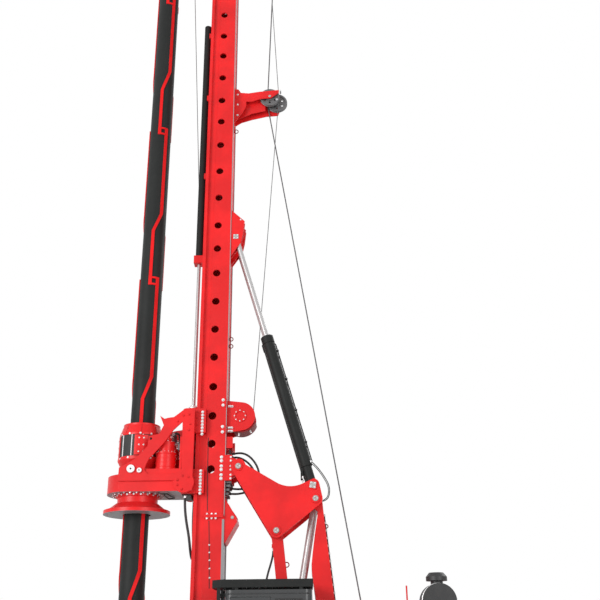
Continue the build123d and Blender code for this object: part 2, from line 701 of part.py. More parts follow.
def fuel_tank():
    """The tank and tool boxes on the right: strapped, with a filler cap and foot treads."""
    t = TANK
    outer = -DECK_WIDTH / 2
    body = block(t["x0"], t["x1"], outer, -SIDE_BAY_INNER, DECK_TOP, t["top"])
    body = fillet(body.edges().filter_by(Axis.X).group_by(Axis.Z)[-1].sort_by(Axis.Y)[0], 90)
    for x in TANK_SEAMS:
        body -= block(x, x + 14, outer - 10, outer + SEAM_DEPTH, DECK_TOP - 10, t["top"] + 10)
        body -= block(x, x + 14, outer - 10, -SIDE_BAY_INNER + 10, t["top"] - SEAM_DEPTH, t["top"] + 10)
    cap = post(t["x0"] + 500, outer + 300, 80, t["top"] - WELD, t["top"] + 70)
    rail = grab_rail(t["x0"] + 200, t["x1"] - 200, outer + 100, t["top"], 230)
    return union([body, cap, rail])


def hatch():
    """The louvred left side door of the engine house, with its hinge knuckles."""
    t, g = HATCH, DOOR_CLEARANCE
    y0, y1 = HOUSE_HALF - HOUSE_WALL, HOUSE_HALF
    door = block(t["x0"] + g, t["x1"] - g, y0, y1, t["z0"] + g, t["z1"] - g)
    for i in range(10):
        z = t["z0"] + 120 + i * 78
        door -= block(t["x0"] + 150, t["x1"] - 150, y0 - 10, y1 + 10, z, z + 34)
    parts = [door]
    for z in HATCH_KNUCKLES:
        z1 = z + KNUCKLE_LENGTH
        parts.append(block(t["x1"] - 70, t["x1"] - g, y1 - WELD, y1 + g, z, z1))
        parts.append(block(t["x1"] - 70, t["x1"], y1 + g - WELD, HATCH_HINGE_Y, z, z1))
        parts.append(post(t["x1"], HATCH_HINGE_Y, KNUCKLE_RADIUS, z, z1))
    return union(parts)


def counterweight():
    """The stack of cast slabs at the rear, rounded at its outer corners."""
    half = COUNTERWEIGHT_HALF
    body = block(COUNTERWEIGHT_REAR, DECK_REAR, -half, half, COUNTERWEIGHT_BOTTOM, COUNTERWEIGHT_TOP)
    rear = body.edges().filter_by(Axis.Z).group_by(Axis.X)[0]
    body = fillet(rear, 320)
    for z in (1760, 2230):
        body -= block(COUNTERWEIGHT_REAR - 10, DECK_REAR - 60, -half - 10, -half + 15, z, z + 14)
        body -= block(COUNTERWEIGHT_REAR - 10, DECK_REAR - 60, half - 15, half + 10, z, z + 14)
        body -= block(COUNTERWEIGHT_REAR - 10, COUNTERWEIGHT_REAR + 15, -half - 10, half + 10, z, z + 14)
    top = COUNTERWEIGHT_TOP
    eyes = []
    for y in (-900, 900):
        eye = hull(((-3990, top + 70), 60), ((-3990, top - 30), 90)) - disc((-3990, top + 70), 32)
        eyes.append(plate(eye, y - 20, y + 20))
    return union([body, *eyes])


def winch_drum():
    """The drum of the main winch."""
    core = pin(WINCH_AXIS, WINCH_DRUM, -WINCH_HALF, WINCH_HALF)
    ends = both(pin(WINCH_AXIS, WINCH_FLANGE, WINCH_HALF - 25, WINCH_HALF))
    drum = union([core, *ends])
    return drum - pin(WINCH_AXIS, 70 + PIN_GAP, -WINCH_HALF - 10, WINCH_HALF + 10)


def winch_frame():
    """The two bearing plates of the main winch, and its shaft."""
    x, foot_z = WINCH_AXIS[0], DECK_TOP + 40
    outline = hull((WINCH_AXIS, 150), ((x - 330, foot_z), 40), ((x + 330, foot_z), 40))
    plates = both(plate(outline, WINCH_HALF + 10, WINCH_HALF + 60))
    shaft = pin(WINCH_AXIS, 70, -WINCH_HALF - 60, WINCH_HALF + 60)
    motor = pin(WINCH_AXIS, 130, WINCH_HALF + 60, WINCH_HALF + 150)
    return union([*plates, shaft, motor])


CLEANER = dict(x=-1790, y=HOUSE_HALF - 300, z=2980, radius=300, half=260, cap=3330)


def air_cleaner():
    """The round pre-cleaner lying across the housing, with its cap on top."""
    c = CLEANER
    x, y, half, radius = c["x"], c["y"], c["half"], c["radius"]
    canister = pin((x, c["z"]), radius, y - half, y + half)
    bands = [pin((x, c["z"]), radius + 8, y + at - 20, y + at + 20) for at in (-150, 150)]
    foot = block(x - 160, x + 160, y - 200, y + 200, HOUSE["z1"], c["z"] - 200)
    neck = post(x, y, 110, c["z"] + radius - 50, c["cap"])
    profile = [
        (0, c["cap"]),
        (190, c["cap"]),
        (190, c["cap"] + 70),
        (130, c["cap"] + 140),
        (0, c["cap"] + 140),
    ]
    return union([canister, *bands, foot, neck, turned(x, y, profile)])


# Linkage


def boom():
    """The rear boom: a box girder with a fork at its head for the luffing rod."""
    length = math.dist(BOOM_FOOT, BOOM_HEAD)
    wide = [along(BOOM_FOOT, BOOM_HEAD, 650, a) for a in (-205, 205)]
    slim = [along(BOOM_FOOT, BOOM_HEAD, length - 320, a) for a in (165, -160)]
    corners = [(point, 1) for point in (*wide, *slim)]
    body = hull((BOOM_FOOT, 160), (BOOM_HEAD, 134), *corners)
    girder = plate(body, -BOOM_HALF, BOOM_HALF)
    fork = polygon(
        [
            along(BOOM_FOOT, BOOM_HEAD, length - 1250, -260),
            along(BOOM_FOOT, BOOM_HEAD, length - 700, 260),
            along(BOOM_FOOT, BOOM_HEAD, length + 300, 260),
            along(BOOM_FOOT, BOOM_HEAD, length + 300, -260),
        ]
    )
    girder -= plate(fork, -FORK_HALF, FORK_HALF)
    girder -= pin(BOOM_FOOT, 60 + PIN_GAP, -BOOM_HALF - 10, BOOM_HALF + 10)
    girder -= pin(BOOM_HEAD, 60 + PIN_GAP, -BOOM_HALF - 10, BOOM_HALF + 10)
    return girder


def front_link():
    """The front link: two arms joined by cross members, with a lifting ring's lug."""
    length = math.dist(LINK_FOOT, LINK_HEAD)
    outline = hull((LINK_FOOT, 108), (LINK_HEAD, 108))
    arms = both(plate(outline, LINK_ARM_IN, LINK_ARM_OUT))
    ties = []
    for distance in (1450, 2150):
        a = along(LINK_FOOT, LINK_HEAD, distance)
        b = along(LINK_FOOT, LINK_HEAD, distance + 240)
        ties.append(plate(hull((a, 75), (b, 75)), -LINK_ARM_IN, LINK_ARM_IN))
    x, y, z = HOSES["link_hose"]["route"][0]
    upper_block = block(1080, x + 30, y - 30, y + 30, z, z + 70)
    x, y, z = HOSES["link_hose"]["route"][-1]
    lower_block = block(960, x + 30, y - 30, LINK_ARM_IN + WELD, z - 80, z)
    link = union([*arms, *ties, upper_block, lower_block])
    for centre in (LINK_FOOT, LINK_HEAD):
        link -= pin(centre, 55 + PIN_GAP, -LINK_ARM_OUT - 10, LINK_ARM_OUT + 10)
    return link


def side_point(point, y):
    """A point of the side view, at y."""
    return (point[0], y, point[1])


def cylinder_pair(foot, head, y, sizes):
    """A hydraulic cylinder's barrel and rod between two pivots of the side view."""
    barrel_start = along(foot, head, sizes["eye"] * 0.8)
    shoulder = along(foot, head, sizes["neck_length"])
    gland = along(foot, head, sizes["barrel_length"])
    collar = along(foot, head, sizes["barrel_length"] - sizes["collar"])
    barrel = union(
        [
            pin(foot, sizes["eye"], y - sizes["eye_half"], y + sizes["eye_half"]),
            bar(side_point(barrel_start, y), side_point(gland, y), sizes["neck"]),
            bar(side_point(shoulder, y), side_point(gland, y), sizes["barrel"]),
            bar(side_point(collar, y), side_point(gland, y), sizes["barrel"] + 12),
        ]
    )
    bore_start = along(foot, head, sizes["rod_start"] - sizes["stroke_in"] - 40)
    past = along(foot, head, sizes["barrel_length"] + 20)
    barrel -= bar(side_point(bore_start, y), side_point(past, y), sizes["rod"] + PIN_GAP)
    barrel -= pin(foot, sizes["foot_pin"] + PIN_GAP, y - sizes["eye_half"] - 10, y + sizes["eye_half"] + 10)
    rod_start = along(foot, head, sizes["rod_start"])
    rod = union(
        [
            bar(side_point(rod_start, y), side_point(head, y), sizes["rod"]),
            pin(head, sizes["head_eye"], y - sizes["head_half"], y + sizes["head_half"]),
            pin(head, sizes["head_pin"], y - sizes["head_pin_half"], y + sizes["head_pin_half"]),
        ]
    )
    return barrel, rod


LUFF = dict(
    eye=110, eye_half=110, foot_pin=55, neck=108, neck_length=200, barrel=115, barrel_length=1640,
    collar=120, rod=75,
    rod_start=900, stroke_in=420, head_eye=118, head_half=105, head_pin=60, head_pin_half=LUFF_EYE_HALF,
)
BACKSTAY = dict(
    eye=105, eye_half=BACKSTAY_EYE_HALF, foot_pin=55, neck=98, neck_length=420, barrel=122,
    barrel_length=3310, collar=150, rod=55,
    rod_start=2450, stroke_in=2070, head_eye=78, head_half=42, head_pin=45, head_pin_half=50,
)


TRIANGLE_TOP = ((370, 5347), (583, 5254), (830, 5194), (1100, 5260), (1800, 5672))
PIVOT_BOSS = 150


def triangle():
    """The twin-plate rocker that carries the mast."""
    outline = hull((MAST_PIVOT, PIVOT_BOSS), (BACKSTAY_FOOT, 135), (BOOM_HEAD, 140), (LINK_HEAD, 135))
    rear, low_rear, low, low_front, front = TRIANGLE_TOP
    over = BACKSTAY_FOOT[1] + 900
    cut = Polyline(low_front, front, (front[0], over), (rear[0], over), rear, low_rear)
    scoop = ThreePointArc(low_rear, low, low_front)
    outline -= make_face([*cut.edges(), scoop])
    outline += disc(MAST_PIVOT, PIVOT_BOSS)
    outer = TRIANGLE_IN + TRIANGLE_PLATE
    plates = both(plate(outline, TRIANGLE_IN, outer))
    tie = pin((980, 4880), 110, -TRIANGLE_IN, TRIANGLE_IN)
    pins = [
        pin(MAST_PIVOT, 65, -outer - 25, outer + 25),
        pin(LINK_HEAD, 55, -outer - 20, outer + 20),
        pin(BACKSTAY_FOOT, 55, -outer - 20, outer + 20),
    ]
    pins += both(pin(BOOM_HEAD, 60, FORK_HALF + 6, outer + 20))
    cap = Pos(*BACKSTAY_FOOT) * Rot(0, 0, KEEPER_TURN) * Rectangle(KEEPER_SIDE, KEEPER_SIDE)
    keeper = both(plate(cap, outer, outer + 22))
    return union([*plates, tie, *pins, *keeper])


# Mast


def mast_section(z0, z1):
    """A length of the mast: a hollow box with guide rails on its front corners."""
    box = block(MAST_REAR, MAST_FRONT, -MAST_HALF, MAST_HALF, z0, z1)
    rails = both(
        block(MAST_FRONT - RAIL_DEPTH, MAST_FRONT, MAST_HALF - WELD, MAST_HALF + RAIL_PROUD, z0, z1)
    )
    proud = MAST_HALF + SIDE_PROUD
    side_plates = both(block(MAST_REAR, SIDE_PLATE_FRONT, MAST_HALF - WELD, proud, z0, z1))
    rear_rails = both(block(MAST_REAR - 20, MAST_REAR + 40, MAST_HALF - WELD, proud, z0, z1))
    box = union([box, *rails, *side_plates, *rear_rails])
    box -= block(
        MAST_REAR + MAST_WALL,
        MAST_FRONT - MAST_WALL,
        -MAST_HALF + MAST_WALL,
        MAST_HALF - MAST_WALL,
        z0 + MAST_WALL,
        z1 - MAST_WALL,
    )
    return box


def mast_lower():
    """The bottom length of the mast with its foot plate."""
    half = MAST_HALF + RAIL_PROUD
    base = block(MAST_REAR - 20, MAST_FRONT + 60, -half, half, MAST_BOTTOM - 60, MAST_BOTTOM + WELD)
    flanges = both(joint_flange(MAST_JOINT - JOINT_FLANGE, MAST_JOINT))
    return union([mast_section(MAST_BOTTOM, MAST_JOINT), base, *flanges])


def joint_flange(z0, z1):
    """One half of the bolted flange at the mast's side."""
    return block(MAST_REAR, SIDE_PLATE_FRONT, MAST_HALF, MAST_HALF + JOINT_FLANGE_REACH, z0, z1)


def mast_main():
    """The long length of the mast, with its row of holes and the slots for the backstays' eyes."""
    reach = MAST_HALF + SIDE_PROUD + 10
    cutters = [pin((HOLE_X, z), HOLE_RADIUS, -reach, reach) for z in HOLE_HEIGHTS]
    low, high = BACKSTAY_HEAD[1] - 420, BACKSTAY_HEAD[1] + 170
    for y in (-BACKSTAY_Y, BACKSTAY_Y):
        cutters.append(block(MAST_REAR - 10, MAST_REAR + 120, y - 56, y + 56, low, high))
    flanges = both(joint_flange(MAST_JOINT, MAST_JOINT + JOINT_FLANGE))
    return union([mast_section(MAST_JOINT, MAST_TOP), *flanges]).cut(*cutters)


def mast_lugs():
    """The pivot lugs, the backstay lugs and the small lug at the mast's foot."""
    lugs = []
    root = MAST_REAR
    face = MAST_HALF + SIDE_PROUD
    edge = PIVOT_BRACKET_OUT
    web = hull((MAST_PIVOT, 140), ((root - 40, 5790), 40), ((root - 40, 5370), 40))
    lap = hull((MAST_PIVOT, 130), ((2225, 5805), 35), ((2225, 5365), 35))
    bracket = block(2010, 2260, face, edge, 5330, 5840)
    pivot = union([plate(web, 225, 297), pin(MAST_PIVOT, 140, 225, edge), plate(lap, face, edge), bracket])
    pivot -= pin(MAST_PIVOT, 65 + PIN_GAP, 200, 400)
    lugs += both(pivot)
    fin = polygon([(root, 11460), (1840, 11160), (1870, 10860), (1920, 10620), (root, 10260)])
    for inner in (138, 276):
        lugs += both(plate(fin, inner, inner + 22))
    foot = polygon([(root, 5000), (1905, 4640), (1905, 4540), (root, 4130)])
    lugs += both(plate(foot, 120, 150))
    for name in ("pivot_hose_outer", "pivot_hose_inner"):
        route = HOSES[name]["route"]
        for x, y, z in (route[0], route[-1]):
            lugs.append(bar((x, y, z), (root, y, z), HOSES[name]["radius"] + 9))
    return lugs


HEAD_SHEAVES = {
    "head_sheave_main_rear": dict(centre=(1420, 21450), radius=320, y=5),
    "head_sheave_main_front": dict(centre=(3600, 21450), radius=320, y=5),
    "head_sheave_aux_rear": dict(centre=(1650, 21350), radius=220, y=-115),
    "head_sheave_aux_front": dict(centre=(3250, 21350), radius=220, y=-115),
}
GUIDE_SHEAVES = {
    "guide_sheave_main": dict(centre=(1119, 14600), radius=250, y=-62),
    "guide_sheave_aux": dict(centre=(1292, 14680), radius=240, y=62),
}
SHEAVE_HALF = 32
SHEAVE_PIN = 40


def sheave(centre, radius, y):
    """A grooved rope sheave with lightening holes."""
    profile = [
        (SHEAVE_PIN + PIN_GAP, -SHEAVE_HALF),
        (90, -SHEAVE_HALF),
        (90, -14),
        (radius - 55, -14),
        (radius - 45, -SHEAVE_HALF),
        (radius, -SHEAVE_HALF),
        (radius, -24),
        (radius - 28, -8),
        (radius - 28, 8),
        (radius, 24),
        (radius, SHEAVE_HALF),
        (radius - 45, SHEAVE_HALF),
        (radius - 55, 14),
        (90, 14),
        (90, SHEAVE_HALF),
        (SHEAVE_PIN + PIN_GAP, SHEAVE_HALF),
    ]
    wheel = revolve(Plane.XZ * make_face(Polyline(*profile, close=True)), axis=Axis.Z)
    ring = (90 + radius - 55) / 2
    for i in range(6):
        angle = math.radians(60 * i + 30)
        wheel -= Pos(ring * math.cos(angle), ring * math.sin(angle), 0) * Cylinder(26, 80)
    return Pos(centre[0], y, centre[1]) * Rot(90, 0, 0) * wheel


def crown():
    """The head frame over the mast: three plates that hold the head sheaves."""
    outline = polygon(
        [
            (1130, 21250),
            (1130, 21600),
            (1380, 21820),
            (3640, 21820),
            (3880, 21600),
            (3880, 21250),
            (3300, 20950),
            (2830, MAST_TOP + 40),
            (2080, MAST_TOP + 40),
            (1900, 20950),
        ]
    )
    plates = [plate(outline, y0, y0 + 25) for y0 in (175, -70, -200)]
    base = block(2080, 2830, -330, 330, MAST_TOP, MAST_TOP + 60)
    pins = []
    for spec in HEAD_SHEAVES.values():
        y0, y1 = (-70, 200) if spec["y"] > 0 else (-200, -45)
        pins.append(pin(spec["centre"], SHEAVE_PIN, y0, y1))
    ties = [block(2380, 2540, -200, 200, 21000, 21700)]
    return union([*plates, base, *pins, *ties])


def rope_guide():
    """The bracket behind the mast that holds the two guide sheaves."""
    arm = polygon(
        [
            (MAST_REAR, 14700),
            (1700, 14770),
            (1250, 14780),
            (1060, 14700),
            (990, 14600),
            (1060, 14480),
            (1290, 14400),
            (1700, 14180),
            (MAST_REAR, 13700),
        ]
    )
    plates = [plate(arm, y0, y1) for y0, y1 in ((112, 134), (-12, 12), (-134, -112))]
    back = block(MAST_REAR - 30, MAST_REAR, -134, 134, 13700, 14700)
    pins = [
        pin(GUIDE_SHEAVES["guide_sheave_aux"]["centre"], SHEAVE_PIN, -12, 150),
        pin(GUIDE_SHEAVES["guide_sheave_main"]["centre"], SHEAVE_PIN, -150, 12),
    ]
    return union([*plates, back, *pins])


AUX_WINCH = (1860, 6660)


def aux_winch():
    """The frame and the drum of the auxiliary winch."""
    outline = hull((AUX_WINCH, 298), ((MAST_REAR - 40, 6950), 40), ((MAST_REAR - 40, 6360), 40))
    plates = both(plate(outline, 205, 235))
    shaft = pin(AUX_WINCH, 60, -235, 235)
    frame = union([*plates, shaft])
    core = pin(AUX_WINCH, 170, -195, 195)
    ends = both(pin(AUX_WINCH, 270, 175, 195))
    drum = union([core, *ends]) - pin(AUX_WINCH, 60 + PIN_GAP, -210, 210)
    return frame, drum


CROWD_X = 2870
CROWD = dict(barrel=85, rod=38, bottom=10400, top=16900, rod_foot=6880, rod_top=12800)


def crowd_cylinder():
    """The crowd cylinder on the mast's face: its barrel and its rod."""
    c = CROWD
    barrel = post(CROWD_X, 0, c["barrel"], c["bottom"], c["top"])
    barrel -= post(CROWD_X, 0, c["rod"] + PIN_GAP, c["bottom"] - 10, c["top"] - 200)
    rod = post(CROWD_X, 0, c["rod"], c["rod_foot"], c["rod_top"])
    return barrel, rod


def crowd_clamps():
    """The foot bracket and the clamps that hold the crowd cylinder's barrel."""
    c = CROWD
    foot = block(MAST_FRONT, CROWD_X + 110, -120, 120, c["bottom"] - 180, c["bottom"])
    foot -= post(CROWD_X, 0, c["rod"] + PIN_GAP, c["bottom"] - 190, c["bottom"] + 10)
    clamps = [block(MAST_FRONT, CROWD_X - 45, -100, 100, z, z + 140) for z in (12400, 14600, 16500)]
    barrel = post(CROWD_X, 0, c["barrel"], c["bottom"], c["top"])
    return [foot, *[clamp - barrel for clamp in clamps]]


# Sled and rotary drive

SLED_GAP = 6
RUNNER_GAP = 0.5
SLED_SIDE_PLATE = 40
SLED_SIDE = (
    (2760, 6750), (2947, 6750), (3180, 6570), (3300, 6555), (3367, 6535), (3461, 6600), (3378, 6404),
    (3459, 6230), (3660, 6190), (3681, 5984), (3773, 5879), (3894, 5750), (4050, 5650), (4218, 5560),
    (4225, 5300), (2980, 5300), (3000, 5100), (2760, 5100),
)
SLED_WINDOW = (
    (3003, 6475), (3176, 6310), (3343, 6063), (3543, 5835), (3634, 5739), (3691, 5610), (3718, 5513),
    (3648, 5432), (3100, 5432), (2980, 5530),
)
SLED_EYE = ((3622, 6137), 26)
SLED_BOSS = ((2930, 5260), 200)
SLED_PINS = (((3980, 5533), 80), ((3810, 5501), 50))
SLED_TIES = ((5100, 5480), (6450, 6740))


def sled():
    """The carriage that runs on the mast's guide rails."""
    column = block(2780, 3000, -330, 330, 5070, 6780)
    inner = MAST_HALF + RAIL_PROUD + RUNNER_GAP
    outer = inner + 70
    parts = [column]
    for z0, z1 in ((5070, 5540), (6280, 6780)):
        for side in (-1, 1):
            y0, y1 = sorted((side * inner, side * outer))
            parts.append(block(2550, 3000, y0, y1, z0, z1))
            h0, h1 = sorted((side * (MAST_HALF + 10), side * outer))
            parts.append(block(2550, MAST_FRONT - RAIL_DEPTH - SLED_GAP, h0, h1, z0, z1))
            f0, f1 = sorted((side * 300, side * outer))
            parts.append(block(MAST_FRONT + SLED_GAP, 3000, f0, f1, z0, z1))
    parts.append(block(2790, 2950, -120, 120, 6780 - WELD, CROWD["rod_foot"]))
    side = polygon(SLED_SIDE) - polygon(SLED_WINDOW) - disc(*SLED_EYE)
    side += disc(*SLED_BOSS)
    face = GEARBOX_HALF + SLED_SIDE_PLATE
    parts += both(plate(side, GEARBOX_HALF, face))
    for centre, radius in SLED_PINS:
        parts += both(pin(centre, radius, face - WELD, face + 28))
    for z0, z1 in SLED_TIES:
        parts += both(block(2890, 3000, outer - WELD, GEARBOX_HALF + WELD, z0, z1))
    parts.append(block(2990, 3040, -GEARBOX_HALF - WELD, GEARBOX_HALF + WELD, GEARBOX_DECK, 6180))
    return union(parts)


def gearbox():
    """The rotary drive's housing: a thick deck behind, and a lower nose round the kelly's axis."""
    low, top, half = GEARBOX_BOTTOM, GEARBOX_TOP, GEARBOX_HALF
    body = block(GEARBOX_REAR, KELLY_X, -half, half, low, top)
    nose = post(KELLY_X, 0, GEARBOX_NOSE, low, top)
    trimmed = nose & block(GEARBOX_REAR, KELLY_X + GEARBOX_NOSE, -half, half, low, top)
    deck = block(GEARBOX_REAR, GEARBOX_DECK_FRONT, -half, half, top - WELD, GEARBOX_DECK)
    deck = fillet(deck.edges().filter_by(Axis.Z).group_by(Axis.X)[-1], DECK_CORNER)
    housing = union([body, trimmed, deck])
    return housing - post(KELLY_X, 0, SLEEVE_RADIUS + 6, low - 10, GEARBOX_DECK + 10)


def drive_motor(y):
    """One planetary reducer with its hydraulic motor."""
    z = GEARBOX_DECK
    profile = [
        (0, z),
        (205, z),
        (205, z + 40),
        (195, z + 55),
        (195, z + 300),
        (205, z + 315),
        (205, z + 345),
        (170, z + 360),
        (170, z + 560),
        (105, z + 580),
        (105, z + 860),
        (0, z + 860),
    ]
    return turned(MOTOR_X, y, profile)


def kelly_drive():
    """The turning stack round the kelly: a sleeve from flange to ring, and the damper round it."""
    b = DRIVE_BORE
    low, high = GEARBOX_BOTTOM - BEARING_GAP, GEARBOX_DECK + BEARING_GAP
    bottom, top = DAMPER_BOTTOM, DAMPER_TOP
    profile = [
        (b, DISK_BOTTOM),
        (DISK_RADIUS, DISK_BOTTOM),
        (DISK_RADIUS, DISK_TOP),
        (560, DISK_TOP + 35),
        (430, DISK_TOP + 135),
        (400, DISK_TOP + 140),
        (400, low - 50),
        (440, low - 50),
        (440, low),
        (SLEEVE_RADIUS, low),
        (SLEEVE_RADIUS, high),
        (360, high),
        (360, high + 60),
        (DAMPER_RADIUS + 20, bottom - 60),
        (DAMPER_RADIUS + 20, bottom),
        (DAMPER_BORE, bottom),
        (DAMPER_BORE, top),
        (DAMPER_RADIUS + 5, top),
        (DAMPER_RADIUS + 5, top + 40),
        (375, top + 215),
        (375, top + 250),
        (b, top + 250),
    ]
    sleeve = turned(KELLY_X, 0, profile)
    for i in range(BOLT_COUNT):
        angle = 2 * math.pi * i / BOLT_COUNT
        x = KELLY_X + BOLT_CIRCLE * math.cos(angle)
        sleeve -= post(x, BOLT_CIRCLE * math.sin(angle), BOLT_RADIUS, DISK_BOTTOM - 10, DISK_TOP + 90)
    profile = [(DAMPER_BORE, bottom), (DAMPER_RADIUS, bottom), (DAMPER_RADIUS, top), (DAMPER_BORE, top)]
    rods = []
    for i in range(DAMPER_RODS):
        angle = 2 * math.pi * (i + 0.5) / DAMPER_RODS
        x = KELLY_X + DAMPER_RADIUS * math.cos(angle)
        rods.append(post(x, DAMPER_RADIUS * math.sin(angle), DAMPER_ROD, bottom, top))
    return sleeve, union([turned(KELLY_X, 0, profile), *rods])


# Kelly


def on_tube(radius, angle, z):
    """A point at a radius from the kelly's axis."""
    turn = math.radians(angle)
    return Vector(KELLY_X + radius * math.cos(turn), radius * math.sin(turn), z)


def strip_run(angle, z0, z1):
    """A straight length of drive strip along the kelly."""
    half = STRIP_WIDTH / 2
    run = block(KELLY_RADIUS - STRIP_SINK, KELLY_RADIUS + STRIP_PROUD, -half, half, z0, z1)
    return Pos(KELLY_X, 0, 0) * Rot(0, 0, angle) * run


def strip_jog(angle, z0, z1):
    """The slanted length that carries a strip from one track on the tube to the next."""
    sections = []
    for i in range(JOG_STEPS + 1):
        part = i / JOG_STEPS
        face = Rectangle(STRIP_PROUD + STRIP_SINK, STRIP_WIDTH)
        middle = KELLY_RADIUS + (STRIP_PROUD - STRIP_SINK) / 2
        place = Pos(*on_tube(middle, angle + part * JOG_ANGLE, z0 + part * (z1 - z0)))
        sections.append(place * Rot(0, 0, angle + part * JOG_ANGLE) * face)
    return loft(sections, ruled=True)


def around_tube(angle, spread, z0, z1, low, high):
    """A piece of the ring between two radii, spread degrees wide."""
    span = extrude(Pos(0, 0, z0) * (Circle(high) - Circle(low)), amount=z1 - z0)
    half = math.radians(spread / 2)
    reach = 2 * high
    wedge = make_face(
        Polyline(
            (0, 0),
            (reach * math.cos(half), -reach * math.sin(half)),
            (reach * math.cos(half), reach * math.sin(half)),
            close=True,
        )
    )
    cut = span & extrude(Pos(0, 0, z0) * wedge, amount=z1 - z0)
    return Pos(KELLY_X, 0, 0) * Rot(0, 0, angle) * cut


def kelly_strips():
    """The keyed strips: each module's strips run down, jog sideways and end in a lock."""
    pieces = []
    cutters = []
    sunk = KELLY_RADIUS - STRIP_SINK
    proud = KELLY_RADIUS + STRIP_PROUD
    half_width = math.degrees(STRIP_WIDTH / 2 / KELLY_RADIUS)
    tops = [module["top"] for module in KELLY_MODULES]
    ends = [top + LOCK_HEIGHT for top in tops[1:]] + [KELLY_FOOT]
    for module, end in zip(KELLY_MODULES, ends):
        head = KELLY_TOP if module is KELLY_MODULES[0] else module["top"] + LOCK_HEIGHT
        for angle in STRIP_ANGLES:
            low_angle = angle - JOG_ANGLE
            pieces.append(strip_run(angle, module["jog_start"], head))
            pieces.append(strip_jog(low_angle, module["jog_end"], module["jog_start"]))
            pieces.append(strip_run(low_angle, end, module["jog_end"]))
    for top in tops:
        for angle in STRIP_ANGLES:
            middle = angle - JOG_ANGLE / 2
            spread = JOG_ANGLE + 2 * half_width
            pieces.append(around_tube(middle, spread, top, top + LOCK_HEIGHT, sunk, proud))
            recess = JOG_ANGLE - 2 * half_width
            low, high = top + LOCK_RIM, top + LOCK_HEIGHT - LOCK_RIM
            cutters.append(around_tube(middle, recess, low, high, KELLY_RADIUS - LOCK_RECESS, proud + 5))
    return pieces, cutters


def kelly():
    """The outer tube with its keyed strips, and the inner bar with its foot and stub."""
    tube = turned(
        KELLY_X,
        0,
        [
            (KELLY_RADIUS - KELLY_WALL, KELLY_FOOT),
            (KELLY_RADIUS, KELLY_FOOT),
            (KELLY_RADIUS, KELLY_TOP),
            (KELLY_RADIUS - KELLY_WALL, KELLY_TOP),
        ],
    )
    pieces, cutters = kelly_strips()
    outer = tube.fuse(*pieces).cut(*cutters)
    plate_bottom = KELLY_FOOT - SPRING_PLATE
    head = KELLY_TOP + INNER_HEAD
    profile = [
        (0, plate_bottom),
        (SPRING_PLATE_RADIUS, plate_bottom),
        (SPRING_PLATE_RADIUS, KELLY_FOOT),
        (INNER_RADIUS, KELLY_FOOT),
        (INNER_RADIUS, head),
        (0, head),
    ]
    half = STUB_SIDE / 2
    stub = block(KELLY_X - half, KELLY_X + half, -half, half, STUB_BOTTOM, plate_bottom + 10)
    pin_z = STUB_BOTTOM + STUB_PIN_HEIGHT
    stub -= bar((KELLY_X, -half - 10, pin_z), (KELLY_X, half + 10, pin_z), STUB_PIN)
    return outer, union([turned(KELLY_X, 0, profile), stub])


GUIDE_SLOT = 165


def kelly_guide():
    """The guide that holds the kelly's head to the mast, with the rope swivel above it."""
    z0, z1 = KELLY_TOP + 80, KELLY_TOP + 380
    ring = post(KELLY_X, 0, 330, z0, z1)
    arms = both(block(MAST_FRONT + SLED_GAP, KELLY_X - 200, GUIDE_SLOT, GUIDE_SLOT + 35, z0, z1))
    shoes = []
    inner = MAST_HALF + RAIL_PROUD + RUNNER_GAP
    for side in (-1, 1):
        y0, y1 = sorted((side * inner, side * (inner + 45)))
        shoes.append(block(2620, 2860, y0, y1, z0, z1))
        h0, h1 = sorted((side * (MAST_HALF + 10), side * (inner + 45)))
        shoes.append(block(2600, MAST_FRONT - RAIL_DEPTH - SLED_GAP, h0, h1, z0, z1))
        f0, f1 = sorted((side * 190, side * (inner + 45)))
        shoes.append(block(MAST_FRONT + SLED_GAP, 2860, f0, f1, z0, z1))
    guide = union([ring, *arms, *shoes])
    guide -= post(KELLY_X, 0, INNER_RADIUS + BEARING_GAP, z0 - 10, z1 + 10)
    foot = KELLY_TOP + INNER_HEAD + BEARING_GAP
    profile = [
        (0, foot),
        (150, foot),
        (150, foot + 380),
        (70, foot + 480),
        (70, foot + 750),
        (0, foot + 750),
    ]
    return guide, turned(KELLY_X, 0, profile)


# Hoses

